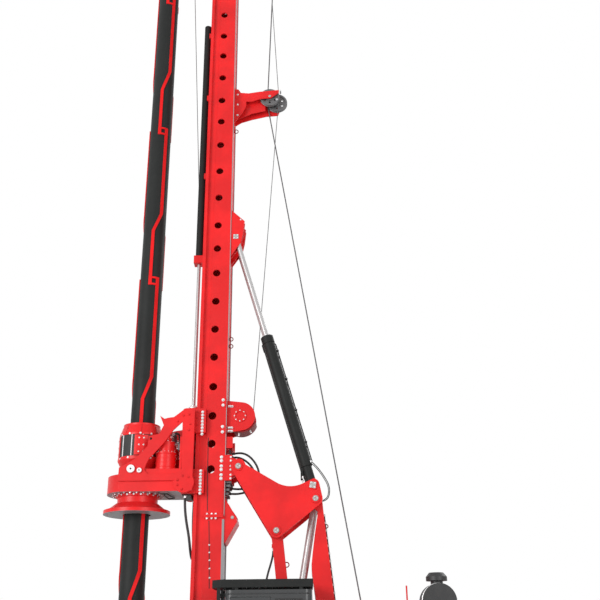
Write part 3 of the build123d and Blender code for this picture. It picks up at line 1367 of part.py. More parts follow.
HOSES = {
    "pivot_hose_outer": dict(
        radius=21,
        route=(
            (2140, 45, 5905), (2060, 45, 5905), (1945, 45, 5935), (1815, 45, 5935), (1695, 45, 5880),
            (1595, 45, 5782), (1520, 45, 5660), (1478, 45, 5528), (1482, 45, 5394), (1540, 45, 5272),
            (1645, 45, 5182), (1780, 45, 5130), (1915, 45, 5108), (2040, 45, 5113), (2140, 45, 5113),
        ),
    ),
    "pivot_hose_inner": dict(
        radius=21,
        route=(
            (2140, -45, 5850), (2065, -45, 5850), (1960, -45, 5872), (1855, -45, 5848), (1755, -45, 5790),
            (1672, -45, 5715), (1605, -45, 5622), (1568, -45, 5515), (1572, -45, 5402), (1622, -45, 5305),
            (1710, -45, 5242), (1818, -45, 5222), (1930, -45, 5220), (2040, -45, 5232), (2140, -45, 5232),
        ),
    ),
    "sled_hose": dict(
        radius=25,
        route=(
            (2930, 285, 5070), (2930, 285, 4950), (2922, 285, 4810), (2903, 285, 4650), (2874, 285, 4490),
            (2840, 285, 4340), (2812, 285, 4180), (2796, 263, 4041), (2788, 201, 3948), (2784, 109, 3887),
            (2783, 0, 3865), (2784, -109, 3887), (2788, -201, 3948), (2794, -263, 4041), (2801, -285, 4160),
            (2813, -285, 4310), (2822, -285, 4470), (2827, -285, 4630), (2828, -285, 4790),
            (2824, -285, 4940), (2824, -285, 5070),
        ),
    ),
    "link_hose": dict(
        radius=20,
        route=(
            (1188, 100, 4050), (1188, 100, 3970), (1207, 100, 3860), (1243, 100, 3730), (1288, 100, 3590),
            (1324, 100, 3440), (1334, 100, 3280), (1316, 100, 3110), (1272, 100, 2950), (1208, 100, 2810),
            (1144, 100, 2690), (1110, 100, 2590), (1110, 100, 2500),
        ),
    ),
}


def hose(radius, route):
    """A hose along straight runs joined by tangent arcs."""
    spots = [Vector(*point) for point in route]
    bends = []
    for a, b, c in zip(spots, spots[1:], spots[2:]):
        turn = math.radians((b - a).get_angle(c - b))
        bends.append(0.45 * min((b - a).length, (c - b).length) / math.tan(turn / 2))
    path = FilletPolyline(*spots, radius=bends)
    print("bend radii:", [round(bend) for bend in bends], "length:", round(path.length))
    return sweep(Plane(origin=path @ 0, z_dir=path % 0) * Circle(radius), path=path)


def main():
    os.makedirs("parts", exist_ok=True)
    save("car_body", car_body())
    for name, y, outward in (("left", TRACK_Y, 1), ("right", -TRACK_Y, -1)):
        save(f"side_frame_{name}", side_frame(y, outward))
        save(f"track_{name}", track_loop(y))
        save(f"track_wheels_{name}", sprocket(y), idler(y))
    save("upper_frame", upper_frame())
    walls, roof = cab_body()
    save("cab_shell", walls, *cab_hinges())
    save("cab_roof", roof)
    save("cab_glass", *cab_glass())
    save("cab_roof_guard", roof_guard())
    door, pane = cab_door()
    save("cab_door", door)
    save("cab_door_glass", pane)
    save("operator_seat", *operator_seat())
    save("engine_house", engine_house())
    save("engine", engine())
    left_hatch, right_hatch = both(hatch())
    save("house_door_left", left_hatch)
    save("house_door_right", right_hatch)
    save("counterweight", counterweight())
    save("left_cabinet", left_cabinet())
    save("fuel_tank", fuel_tank())
    save("air_cleaner", air_cleaner())
    save("main_winch_frame", winch_frame())
    save("main_winch_drum", winch_drum())
    save("boom", boom())
    save("front_link", front_link())
    luff_barrel, luff_rod = cylinder_pair(LUFF_FOOT, BOOM_HEAD, 0, LUFF)
    save("luff_barrel", luff_barrel)
    save("luff_rod", luff_rod)
    pairs = [cylinder_pair(BACKSTAY_FOOT, BACKSTAY_HEAD, y, BACKSTAY) for y in (-BACKSTAY_Y, BACKSTAY_Y)]
    save("backstay_barrels", *[barrel for barrel, _ in pairs])
    save("backstay_rods", *[rod for _, rod in pairs])
    save("triangle", triangle())
    save("mast_lower", mast_lower())
    save("mast", mast_main())
    save("mast_lugs", *mast_lugs(), *crowd_clamps())
    save("crown", crown())
    save("rope_guide", rope_guide())
    for name, spec in {**HEAD_SHEAVES, **GUIDE_SHEAVES}.items():
        save(name, sheave(**spec))
    frame, drum = aux_winch()
    save("aux_winch_frame", frame)
    save("aux_winch_drum", drum)
    barrel, rod = crowd_cylinder()
    save("crowd_barrel", barrel)
    save("crowd_rod", rod)
    save("sled", sled())
    save("rotary_gearbox", gearbox())
    save("drive_motors", drive_motor(340), drive_motor(-340))
    sleeve, damper = kelly_drive()
    save("drive_sleeve", sleeve)
    save("drive_damper", damper)
    outer, inner = kelly()
    save("kelly_outer", outer)
    save("kelly_inner", inner)
    guide, swivel = kelly_guide()
    save("kelly_guide", guide)
    save("kelly_swivel", swivel)
    for name, spec in HOSES.items():
        save(name, hose(**spec))


main()
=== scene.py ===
import math
from functools import partial

import bmesh
import bpy
from mathutils import Matrix, Vector


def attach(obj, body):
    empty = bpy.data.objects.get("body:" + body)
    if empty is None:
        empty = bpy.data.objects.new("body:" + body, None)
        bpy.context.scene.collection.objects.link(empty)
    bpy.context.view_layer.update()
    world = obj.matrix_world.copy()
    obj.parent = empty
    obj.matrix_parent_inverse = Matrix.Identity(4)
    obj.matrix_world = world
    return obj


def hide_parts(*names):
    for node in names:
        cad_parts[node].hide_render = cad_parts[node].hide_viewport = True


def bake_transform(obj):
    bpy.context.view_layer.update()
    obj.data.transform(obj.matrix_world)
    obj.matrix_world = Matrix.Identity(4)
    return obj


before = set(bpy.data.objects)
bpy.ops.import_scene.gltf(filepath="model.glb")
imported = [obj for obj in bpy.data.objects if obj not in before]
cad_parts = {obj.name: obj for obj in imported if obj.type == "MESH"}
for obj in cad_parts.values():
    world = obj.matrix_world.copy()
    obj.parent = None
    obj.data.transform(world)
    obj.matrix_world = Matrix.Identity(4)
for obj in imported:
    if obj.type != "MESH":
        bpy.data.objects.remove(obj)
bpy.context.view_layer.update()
scene = bpy.context.scene


# Camera: low beside the left track, looking up at the mast.

camera_data = bpy.data.cameras.new("camera")
camera_data.lens = 50
camera_data.sensor_width = 36
camera_data.clip_end = 300
camera = bpy.data.objects.new("camera", camera_data)
scene.collection.objects.link(camera)
scene.camera = camera
CAMERA_PLACE = (0.61, 17.0, 2.26)
CAMERA_PITCH = math.radians(22.6)
CAMERA_ROLL = math.radians(0.66)
camera.matrix_world = (
    Matrix.Translation(CAMERA_PLACE)
    @ Matrix.Rotation(math.pi, 4, "Z")
    @ Matrix.Rotation(math.pi / 2 + CAMERA_PITCH, 4, "X")
    @ Matrix.Rotation(-CAMERA_ROLL, 4, "Z")
)


# Effects that several finishes share


RESULT_KIND = {"Color": "Color", "Normal": "Vector"}


def effect(name, results, **inputs):
    """A shader node group, the sockets that give its inputs and those that take its results."""
    group = bpy.data.node_groups.new(name, "ShaderNodeTree")
    for label, value in inputs.items():
        kind = {4: "Color", 3: "Vector"}[len(value)] if isinstance(value, tuple) else "Float"
        label = label.replace("_", " ")
        socket = group.interface.new_socket(label, in_out="INPUT", socket_type=f"NodeSocket{kind}")
        socket.default_value = value
    for label in results.split():
        kind = RESULT_KIND.get(label, "Float")
        group.interface.new_socket(label, in_out="OUTPUT", socket_type=f"NodeSocket{kind}")
    return group, group.nodes.new("NodeGroupInput").outputs, group.nodes.new("NodeGroupOutput").inputs


def on_circle(centre, radius, angle):
    """The two coordinates of a circle's point at an angle."""
    return (centre[0] + radius * math.cos(angle), centre[1] + radius * math.sin(angle))


def put(tree, kind, settings=None, **inputs):
    """A node of a kind, with its settings, and values or links on its inputs by name, or by number as _0."""
    node = tree.nodes.new(f"ShaderNode{kind}")
    for label, value in (settings or {}).items():
        setattr(node, label, value)
    for label, value in inputs.items():
        socket = node.inputs[int(label[1:])] if label[1:].isdigit() else node.inputs[label.replace("_", " ")]
        if isinstance(value, bpy.types.NodeSocket):
            tree.links.new(value, socket)
        else:
            socket.default_value = value
    return node


def connect(tree, sockets, **values):
    """Links values to sockets by name."""
    for label, value in values.items():
        tree.links.new(value, sockets[label.replace("_", " ")])


def object_space(tree):
    """The place in the object's own space, which is the machine's frame."""
    return put(tree, "TexCoord").outputs["Object"]


def math_of(tree, operation, first, second, clamp=False):
    """A Math node's result."""
    return put(tree, "Math", {"operation": operation, "use_clamp": clamp}, _0=first, _1=second).outputs[0]


def colour_between(tree, factor, first, second):
    """A colour mixed from two."""
    mix = put(tree, "Mix", {"data_type": "RGBA"}, _0=factor, _6=first, _7=second)
    return mix.outputs[2]


def remapped(tree, value, low, high, to_low, to_high):
    """A value stretched from one range to another."""
    node = put(tree, "MapRange", Value=value, From_Min=low, From_Max=high, To_Min=to_low, To_Max=to_high)
    return node.outputs[0]


def spots(tree, where, scale, detail=3.0, roughness=0.5):
    """A noise pattern's value."""
    noise = put(tree, "TexNoise", Vector=where, Scale=scale, Detail=detail, Roughness=roughness)
    return noise.outputs["Fac"]


def build_paint_coat():
    """Sprayed paint: cloudy tone, orange peel, and dust that settles on faces that look up."""
    group, given, out = effect(
        "paint_coat", "Color Roughness Height", Paint=(0.9, 0.03, 0.03, 1), Dust_Colour=(0.55, 0.5, 0.45, 1),
        Tone=0.08, Dust=0.1, Gloss=0.35, Peel_Scale=90.0,
    )
    at = object_space(group)
    cloud = spots(group, at, 1.3, 4.0)
    fine = spots(group, at, 11.0, 5.0, 0.65)
    darker = put(group, "HueSaturation", Value=0.82, Color=given["Paint"]).outputs[0]
    tone = math_of(group, "MULTIPLY", remapped(group, cloud, 0.35, 0.75, 0, 4), given["Tone"], True)
    painted = colour_between(group, tone, given["Paint"], darker)
    normal = put(group, "NewGeometry").outputs["Normal"]
    upward = put(group, "SeparateXYZ", Vector=normal).outputs["Z"]
    settled = remapped(group, upward, 0.3, 1.0, 0.15, 1.0)
    patch = math_of(group, "MULTIPLY", settled, remapped(group, fine, 0.4, 0.7, 0.1, 1.0))
    dust = math_of(group, "MULTIPLY", patch, given["Dust"], True)
    colour = colour_between(group, dust, painted, given["Dust Colour"])
    rough = math_of(group, "ADD", given["Gloss"], math_of(group, "MULTIPLY", dust, 0.5))
    rough = math_of(group, "ADD", rough, remapped(group, cloud, 0.3, 0.7, -0.03, 0.03), True)
    peel = spots(group, at, given["Peel Scale"], 1.0)
    connect(group, out, Color=colour, Roughness=rough, Height=peel)
    return group


def build_soft_edge():
    """The narrow rounding of a welded or sawn edge."""
    group, given, out = effect("soft_edge", "Normal", Radius=0.006)
    connect(group, out, Normal=put(group, "Bevel", {"samples": 4}, Radius=given["Radius"]).outputs[0])
    return group


def build_metal_grain():
    """Rolled, cast or turned metal: a tone that varies, a stretched grain and pits."""
    group, given, out = effect(
        "metal_grain", "Color Roughness Height", Metal=(0.5, 0.5, 0.5, 1), Stain=(0.2, 0.16, 0.13, 1),
        Stain_Amount=0.2, Finish=0.35, Grain_Scale=40.0, Stretch=1.0,
    )
    at = object_space(group)
    stretch = put(group, "CombineXYZ", _0=1.0, _1=1.0, _2=given["Stretch"]).outputs[0]
    along = put(group, "VectorMath", {"operation": "MULTIPLY"}, _0=at, _1=stretch).outputs[0]
    grain = spots(group, along, given["Grain Scale"], 4.0, 0.6)
    blotch = spots(group, at, 6.0, 5.0, 0.6)
    stained = math_of(
        group, "MULTIPLY", remapped(group, blotch, 0.45, 0.75, 0, 1), given["Stain Amount"], True,
    )
    colour = colour_between(group, stained, given["Metal"], given["Stain"])
    rough = math_of(group, "ADD", given["Finish"], remapped(group, grain, 0.3, 0.7, -0.08, 0.08))
    rough = math_of(group, "ADD", rough, math_of(group, "MULTIPLY", stained, 0.3), True)
    connect(group, out, Color=colour, Roughness=rough, Height=grain)
    return group


def build_ground_dirt():
    """Dry soil that clings below a height, heavier towards the ground."""
    group, given, out = effect(
        "ground_dirt", "Color Roughness", Color=(0.2, 0.2, 0.2, 1), Roughness=0.5, Soil=(0.3, 0.24, 0.18, 1),
        Top=1.2, Amount=0.5,
    )
    at = object_space(group)
    height = put(group, "SeparateXYZ", Vector=at).outputs["Z"]
    low = put(group, "MapRange", Value=height, From_Min=given["Top"], From_Max=0.0).outputs[0]
    crumbs = spots(group, at, 14.0, 6.0, 0.7)
    mask = math_of(group, "MULTIPLY", low, remapped(group, crumbs, 0.38, 0.62, 0, 1))
    mask = math_of(group, "MULTIPLY", mask, given["Amount"], True)
    rough = put(group, "Mix", _0=mask, _2=given["Roughness"], _3=0.9).outputs[0]
    connect(group, out, Color=colour_between(group, mask, given["Color"], given["Soil"]), Roughness=rough)
    return group


def build_twist():
    """The strands of a rope, from the tube's own UV."""
    group, given, out = effect("twist", "Height Groove", Turns=6.0, Slant=60.0)
    uv = put(group, "TexCoord").outputs["UV"]
    parts = put(group, "SeparateXYZ", Vector=uv)
    lengthways = math_of(group, "MULTIPLY", parts.outputs["X"], given["Slant"])
    around = math_of(group, "MULTIPLY", parts.outputs["Y"], given["Turns"])
    phase = math_of(group, "MULTIPLY", math_of(group, "ADD", lengthways, around), 2 * math.pi)
    wave = math_of(group, "SINE", phase, 0.0)
    height = remapped(group, wave, -1, 1, 0, 1)
    groove = remapped(group, wave, -1.0, -0.5, 1, 0)
    connect(group, out, Height=height, Groove=groove)
    return group


def build_weave():
    """A cloth's threads over and under, with a little pilling."""
    group, given, out = effect(
        "weave", "Color Height", Thread=(0.05, 0.05, 0.06, 1), Gap=(0.01, 0.01, 0.01, 1), Scale=300.0,
    )
    at = object_space(group)
    scaled = put(group, "VectorMath", {"operation": "SCALE"}, _0=at, Scale=given["Scale"]).outputs[0]
    parts = put(group, "SeparateXYZ", Vector=scaled)
    across = math_of(group, "SINE", math_of(group, "ADD", parts.outputs["X"], parts.outputs["Z"]), 0.0)
    down = math_of(group, "SINE", math_of(group, "ADD", parts.outputs["Y"], parts.outputs["Z"]), 0.0)
    height = remapped(group, math_of(group, "MULTIPLY", across, down), -1, 1, 0, 1)
    fuzz = spots(group, at, 260.0, 2.0)
    mask = math_of(group, "MULTIPLY", height, remapped(group, fuzz, 0.3, 0.6, 0.5, 1.0), True)
    connect(group, out, Color=colour_between(group, mask, given["Gap"], given["Thread"]), Height=height)
    return group


def build_box_mask():
    """1 inside a box of the object's own space, 0 outside."""
    group, given, out = effect("box_mask", "Mask", Centre=(0, 0, 0), Half_Size=(1, 1, 1))
    at = object_space(group)
    away = put(group, "VectorMath", {"operation": "SUBTRACT"}, _0=at, _1=given["Centre"]).outputs[0]
    away = put(group, "VectorMath", {"operation": "ABSOLUTE"}, _0=away).outputs[0]
    inside = put(group, "VectorMath", {"operation": "SUBTRACT"}, _0=given["Half Size"], _1=away).outputs[0]
    parts = put(group, "SeparateXYZ", Vector=inside)
    least = math_of(
        group, "MINIMUM", math_of(group, "MINIMUM", parts.outputs["X"], parts.outputs["Y"]),
        parts.outputs["Z"],
    )
    connect(group, out, Mask=math_of(group, "GREATER_THAN", least, 0.0))
    return group


def build_beyond_radius():
    """1 farther than a radius from an upright axis, 0 nearer."""
    group, given, out = effect("beyond_radius", "Mask", Axis_Point=(0, 0, 0), Radius=0.5)
    at = object_space(group)
    away = put(group, "VectorMath", {"operation": "SUBTRACT"}, _0=at, _1=given["Axis Point"]).outputs[0]
    flat = put(group, "VectorMath", {"operation": "MULTIPLY"}, _0=away, _1=(1, 1, 0)).outputs[0]
    reach = put(group, "VectorMath", {"operation": "LENGTH"}, _0=flat).outputs["Value"]
    connect(group, out, Mask=math_of(group, "GREATER_THAN", reach, given["Radius"]))
    return group


PAINT_COAT = build_paint_coat()
SOFT_EDGE = build_soft_edge()
METAL_GRAIN = build_metal_grain()
GROUND_DIRT = build_ground_dirt()
TWIST = build_twist()
WEAVE = build_weave()
BOX_MASK = build_box_mask()
BEYOND_RADIUS = build_beyond_radius()


def use(tree, group, **inputs):
    """An effect placed in a material, with its own values or links."""
    return put(tree, "Group", {"node_tree": group}, **inputs)


def material(**constants):
    """An empty material with its Principled shader, whose constants are set on its own sockets."""
    made = bpy.data.materials.new("finish")
    made.use_nodes = True
    shader = made.node_tree.nodes["Principled BSDF"]
    for label, value in constants.items():
        shader.inputs[label.replace("_", " ")].default_value = value
    return made, made.node_tree, shader


def bumped(tree, height, strength, distance, normal=None):
    """A Bump node's normal."""
    node = put(tree, "Bump", Strength=strength, Distance=distance, Height=height)
    if normal is not None:
        tree.links.new(normal, node.inputs["Normal"])
    return node.outputs[0]


def soiled(tree, coat, soil=0.0):
    """A coat's colour and roughness, under dry soil where there is some."""
    colour, rough = coat.outputs["Color"], coat.outputs["Roughness"]
    if soil:
        dirt = use(tree, GROUND_DIRT, Color=colour, Roughness=rough, Amount=soil)
        colour, rough = dirt.outputs["Color"], dirt.outputs["Roughness"]
    return colour, rough


def paint_finish(
    paint, gloss=0.38, tone=0.5, dust=0.04, coat=0.05, edge=0.006, soil=0.0, shine=0.3, bare=None, raised=None
):
    """Sprayed paint over steel. bare is a (centre, half size) box where the steel shows.
    raised is an (axis point, radius, paint) beyond which another paint is used."""
    made, tree, shader = material(Coat_Weight=coat, Coat_Roughness=0.2, Specular_IOR_Level=shine)
    coated = use(tree, PAINT_COAT, Paint=(*paint, 1), Tone=tone, Dust=dust, Gloss=gloss)
    if raised:
        beyond = use(tree, BEYOND_RADIUS, Axis_Point=raised[0], Radius=raised[1])
        two_paints = colour_between(tree, beyond.outputs["Mask"], (*paint, 1), (*raised[2], 1))
        tree.links.new(two_paints, coated.inputs["Paint"])
    colour, rough = soiled(tree, coated, soil)
    rounding = use(tree, SOFT_EDGE, Radius=edge)
    if bare:
        box = use(tree, BOX_MASK, Centre=bare[0], Half_Size=bare[1])
        colour = colour_between(tree, box.outputs["Mask"], colour, (0.33, 0.33, 0.34, 1))
    normal = bumped(tree, coated.outputs["Height"], 0.08, 0.002, rounding.outputs["Normal"])
    connect(tree, shader.inputs, Base_Color=colour, Roughness=rough, Normal=normal)
    return made


def metal_finish(metal, finish, metallic=1.0, grain=40.0, stretch=1.0, stain=0.2, soil=0.0, bump=0.15):
    """Bare, plated or cast metal."""
    made, tree, shader = material(Metallic=metallic)
    grained = use(
        tree, METAL_GRAIN, Metal=(*metal, 1), Stain_Amount=stain, Finish=finish, Grain_Scale=grain,
        Stretch=stretch,
    )
    colour, rough = soiled(tree, grained, soil)
    rounding = use(tree, SOFT_EDGE, Radius=0.003)
    normal = bumped(tree, grained.outputs["Height"], bump, 0.001, rounding.outputs["Normal"])
    connect(tree, shader.inputs, Base_Color=colour, Roughness=rough, Normal=normal)
    return made


def rubber_finish(shade, finish, bump=0.3, scale=160.0):
    """Rubber, moulded plastic or a hose's cover."""
    made, tree, shader = material()
    grained = use(
        tree, METAL_GRAIN, Metal=(*shade, 1), Stain=(0.09, 0.085, 0.08, 1), Finish=finish, Grain_Scale=scale,
    )
    colour, rough = soiled(tree, grained)
    normal = bumped(tree, grained.outputs["Height"], bump, 0.0008)
    connect(tree, shader.inputs, Base_Color=colour, Roughness=rough, Normal=normal)
    return made


def rope_finish(strand, groove, turns, slant):
    """Wire rope: bright strands with greased grooves between them."""
    made, tree, shader = material(Metallic=0.8, Roughness=0.45)
    lay = use(tree, TWIST, Turns=turns, Slant=slant)
    colour = colour_between(tree, lay.outputs["Groove"], (*strand, 1), (*groove, 1))
    connect(tree, shader.inputs, Base_Color=colour, Normal=bumped(tree, lay.outputs["Height"], 0.7, 0.002))
    return made


def glass_finish(tint, clear):
    """Cab glass: mostly clear, with a green tint and a light film of dust."""
    made, tree, shader = material(Base_Color=(*tint, 1), IOR=1.45, Transmission_Weight=clear)
    film = spots(tree, object_space(tree), 9.0, 5.0, 0.6)
    connect(tree, shader.inputs, Roughness=remapped(tree, film, 0.4, 0.8, 0.02, 0.12))
    return made


def cloth_finish(thread, gap):
    """Woven seat cloth."""
    made, tree, shader = material(Roughness=0.9, Sheen_Weight=0.3)
    woven = use(tree, WEAVE, Thread=(*thread, 1), Gap=(*gap, 1))
    connect(
        tree, shader.inputs, Base_Color=woven.outputs["Color"],
        Normal=bumped(tree, woven.outputs["Height"], 0.4, 0.001),
    )
    return made


def lamp_finish(colour, glow):
    """A lamp's moulded lens: ribbed and clear."""
    made, tree, shader = material(Base_Color=(*colour, 1), Roughness=0.12, IOR=1.5, Emission_Strength=glow)
    shader.inputs["Emission Color"].default_value = (*colour, 1)
    at = object_space(tree)
    wave = put(tree, "TexWave", {"bands_direction": "Z"}, Vector=at, Scale=40.0, Distortion=0.0)
    ribs = wave.outputs["Fac"]
    connect(tree, shader.inputs, Normal=bumped(tree, ribs, 0.3, 0.002))
    return made


KELLY_X = 3.92
RED = (0.93, 0.016, 0.018)
GREY = (0.024, 0.0255, 0.025)
FINISH = {
    "red_paint": paint_finish(RED),
    "red_undercarriage": paint_finish((0.80, 0.026, 0.026), gloss=0.42, dust=0.35, soil=0.55),
    "red_mast": paint_finish(RED, bare=((2.14, 0, 10.9), (0.014, 0.5, 9.55))),
    "red_mast_foot": paint_finish(RED, bare=((2.155, 0, 3.0), (0.030, 0.5, 1.58))),
    "red_sleeve": paint_finish(RED, bare=((KELLY_X, 0, 4.70), (0.8, 0.8, 0.0225))),
    "red_gearbox": paint_finish(RED, bare=((3.8, 0, 5.08), (1.2, 1.0, 0.0215))),
    "red_dark": paint_finish((0.30, 0.006, 0.010), gloss=0.45, coat=0.0),
    "kelly_paint": paint_finish(
        GREY, gloss=0.5, tone=0.3, coat=0.0, shine=0.12, raised=((KELLY_X, 0, 0), 0.2462, RED),
    ),
    "dark_paint": paint_finish(GREY, gloss=0.5, tone=0.3, coat=0.0, shine=0.12),
    "cab_paint": paint_finish((0.05, 0.052, 0.054), gloss=0.3, tone=0.3, coat=0.4, edge=0.01),
    "track_steel": metal_finish((0.12, 0.115, 0.11), 0.48, metallic=0.7, stain=0.6, soil=0.75),
    "steel": metal_finish((0.56, 0.56, 0.57), 0.36),
    "zinc": metal_finish((0.80, 0.80, 0.80), 0.38, metallic=0.55, stain=0.1),
    "pin_steel": metal_finish((0.44, 0.41, 0.39), 0.45, metallic=0.5, stain=0.2),
    "cast_iron": metal_finish((0.16, 0.16, 0.165), 0.55, metallic=0.6, grain=90.0, bump=0.4, stain=0.3),
    "chrome": metal_finish(
        (0.52, 0.51, 0.51), 0.36, metallic=0.35, grain=60.0, stretch=0.05, stain=0.05, bump=0.03,
    ),
    "glass": glass_finish((0.78, 0.88, 0.86), 0.92),
    "black_plastic": rubber_finish((0.022, 0.022, 0.023), 0.45),
    "rubber": rubber_finish((0.018, 0.018, 0.018), 0.62, bump=0.4, scale=90.0),
    "hose": rubber_finish((0.014, 0.014, 0.015), 0.5, bump=0.2, scale=220.0),
    "seat_fabric": cloth_finish((0.06, 0.062, 0.07), (0.012, 0.012, 0.014)),
    "rope": rope_finish((0.16, 0.16, 0.165), (0.03, 0.028, 0.025), 6.0, 12.0),
    "lamp": lamp_finish((0.9, 0.9, 0.86), 0.15),
    "amber": lamp_finish((0.95, 0.36, 0.02), 0.25),
}
for finish_name, look in FINISH.items():
    look.name = finish_name

# The finish of each CAD node that has another look than its slot
NODE_FINISH = {
    "red_undercarriage": ["car_body", "side_frame_left", "side_frame_right"],
    "track_steel": ["track_left", "track_right", "track_wheels_left", "track_wheels_right"],
    "red_paint": [
        "upper_frame", "boom", "front_link", "triangle", "mast_lugs", "crown", "rope_guide",
        "aux_winch_frame", "main_winch_frame", "sled", "drive_motors", "kelly_guide", "engine_house",
        "house_door_left", "house_door_right", "left_cabinet", "fuel_tank",
    ],
    "red_sleeve": ["drive_sleeve"],
    "red_gearbox": ["rotary_gearbox"],
    "kelly_paint": ["kelly_outer"],
    "hose": ["pivot_hose_outer", "pivot_hose_inner", "sled_hose", "link_hose"],
    "red_mast": ["mast"],
    "red_mast_foot": ["mast_lower"],
    "dark_paint": [
        "backstay_barrels", "luff_barrel", "crowd_barrel", "counterweight", "aux_winch_drum",
        "cab_roof_guard",
    ],
    "cab_paint": ["cab_shell", "cab_roof", "cab_door"],
    "glass": ["cab_glass", "cab_door_glass"],
    "steel": ["kelly_inner", "kelly_swivel", "main_winch_drum"],
    "chrome": ["backstay_rods", "luff_rod", "crowd_rod"],
    "cast_iron": [
        "engine", "head_sheave_main_rear", "head_sheave_main_front", "head_sheave_aux_rear",
        "head_sheave_aux_front", "guide_sheave_main", "guide_sheave_aux",
    ],
    "black_plastic": ["air_cleaner", "operator_seat"],
    "rubber": ["drive_damper"],
}
for finish_name, node_names in NODE_FINISH.items():
    for node_name in node_names:
        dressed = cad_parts[node_name].data
        dressed.materials.clear()
        dressed.materials.append(FINISH[finish_name])


# Making pieces

SIDE_VIEW = Matrix(((1, 0, 0, 0), (0, 0, 1, 0), (0, 1, 0, 0), (0, 0, 0, 1)))


def piece(name, mesh_maker, finish, body, sharp=35):
    """A named piece from a bmesh, with its finish, riding on a body."""
    mesh = bpy.data.meshes.new(name)
    mesh_maker.to_mesh(mesh)
    mesh_maker.free()
    mesh.materials.append(FINISH[finish])
    for face in mesh.polygons:
        face.use_smooth = True
    mesh.set_sharp_from_angle(angle=math.radians(sharp))
    made = bpy.data.objects.new(name, mesh)
    scene.collection.objects.link(made)
    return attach(made, body)


def closed_piece(name, mesh_maker, finish, body, sharp=35):
    """A piece whose faces are turned outward first."""
    bmesh.ops.recalc_face_normals(mesh_maker, faces=mesh_maker.faces)
    return piece(name, mesh_maker, finish, body, sharp)


def rounded(made, width):
    """Gives a piece a modelled bevel on its sharp edges."""
    bevel = made.modifiers.new("edges", "BEVEL")
    bevel.width = width
    bevel.segments = 2
    bevel.limit_method = "ANGLE"
    bevel.angle_limit = math.radians(40)
    return made


def facing(at, normal, turn=0.0):
    """The matrix that puts a thing made along +Z at a point, looking along a normal."""
    spin = Vector(normal).to_track_quat("Z", "Y").to_matrix().to_4x4()
    return Matrix.Translation(at) @ spin @ Matrix.Rotation(turn, 4, "Z")


def add_lathe(bm, matrix, profile, sides=24):
    """Adds a solid of revolution: (radius, height) steps turned about the matrix's Z."""
    rings = []
    for radius, height in profile:
        if radius < 1e-6:
            rings.append([bm.verts.new(matrix @ Vector((0, 0, height)))])
            continue
        circle = [on_circle((0, 0), radius, 2 * math.pi * i / sides) for i in range(sides)]
        rings.append([bm.verts.new(matrix @ Vector((*spot, height))) for spot in circle])
    for low, high in zip(rings, rings[1:]):
        for i in range(sides):
            j = (i + 1) % sides
            corners = [low[i % len(low)], low[j % len(low)], high[j % len(high)], high[i % len(high)]]
            corners = list(dict.fromkeys(corners))
            if len(corners) > 2:
                bm.faces.new(corners)


def disc(radius, height):
    """A flat disc's or a round bar's profile for a lathe."""
    return [(0, 0), (radius, 0), (radius, height), (0, height)]


def stud(radius, shoulder, top_radius, height):
    """A disc's profile with a sloping edge from its shoulder up to its top."""
    return [(0, 0), (radius, 0), (radius, shoulder), (top_radius, height), (0, height)]


def necked(radius, shoulder, neck, neck_start, height):
    """A fitting's profile: a disc with a narrower neck on it."""
    return [(0, 0), (radius, 0), (radius, shoulder), (neck, neck_start), (neck, height), (0, height)]


def add_prism(bm, matrix, outline, low, high):
    """Adds a flat outline in the matrix's XY, thick from low to high."""
    bottom = [bm.verts.new(matrix @ Vector((x, y, low))) for x, y in outline]
    top = [bm.verts.new(matrix @ Vector((x, y, high))) for x, y in outline]
    bm.faces.new(bottom[::-1])
    bm.faces.new(top)
    for i in range(len(outline)):
        j = (i + 1) % len(outline)
        bm.faces.new([bottom[i], bottom[j], top[j], top[i]])


def add_block(bm, low, high):
    """Adds a box given by its two corners."""
    outline = [(low[0], low[1]), (high[0], low[1]), (high[0], high[1]), (low[0], high[1])]
    add_prism(bm, Matrix.Identity(4), outline, low[2], high[2])


WASHER = 0.82
CORNER = 0.577
CHAMFERED = 0.84


def add_bolt(bm, at, normal, across=0.030, height=0.018, turn=0.2):
    """Adds a hexagon head on its washer. Its measures are shares of the width across flats."""
    place = facing(at, normal, turn)
    washer = across * WASHER
    add_lathe(bm, place, [(0, 0.0), (washer, 0.0), (washer, 0.004), (across * 0.5, 0.004), (0, 0.004)], 16)
    hexagon = [on_circle((0, 0), across * CORNER, math.radians(60 * i)) for i in range(6)]
    add_prism(bm, place, hexagon, 0.004, height * 0.8)
    small = [(x * CHAMFERED, y * CHAMFERED) for x, y in hexagon]
    add_prism(bm, place, small, height * 0.79, height)


def bolts(name, body, places, normal, across=0.030, height=0.018, finish="zinc"):
    """One piece holding the bolt heads at several places that share a direction."""
    bm = bmesh.new()
    for i, at in enumerate(places):
        add_bolt(bm, at, normal, across, height, 0.2 + 0.7 * i)
    return piece(name, bm, finish, body)


def bolt_ring(name, body, centre, normal, radius, count, across=0.030, height=0.018, start=0.0):
    """Bolt heads on a circle round a centre."""
    place = facing(centre, normal)
    circle = [on_circle((0, 0), radius, start + 2 * math.pi * i / count) for i in range(count)]
    places = [place @ Vector((*spot, 0)) for spot in circle]
    return bolts(name, body, places, normal, across, height)


def lathe(name, body, finish, at, normal, profile, sides=48):
    """A turned piece."""
    bm = bmesh.new()
    add_lathe(bm, facing(at, normal), profile, sides)
    return piece(name, bm, finish, body)


def side_plate(name, body, finish, outline, y0, y1, edge=0.004):
    """A plate whose outline lies in X and Z, between y0 and y1 in either order."""
    bm = bmesh.new()
    add_prism(bm, SIDE_VIEW, outline, *sorted((y0, y1)))
    return rounded(closed_piece(name, bm, finish, body), edge)


def blocks(name, body, finish, corners, edge=0.004):
    """One piece from several bevelled boxes."""
    bm = bmesh.new()
    for low, high in corners:
        add_block(bm, low, high)
    return rounded(piece(name, bm, finish, body), edge)


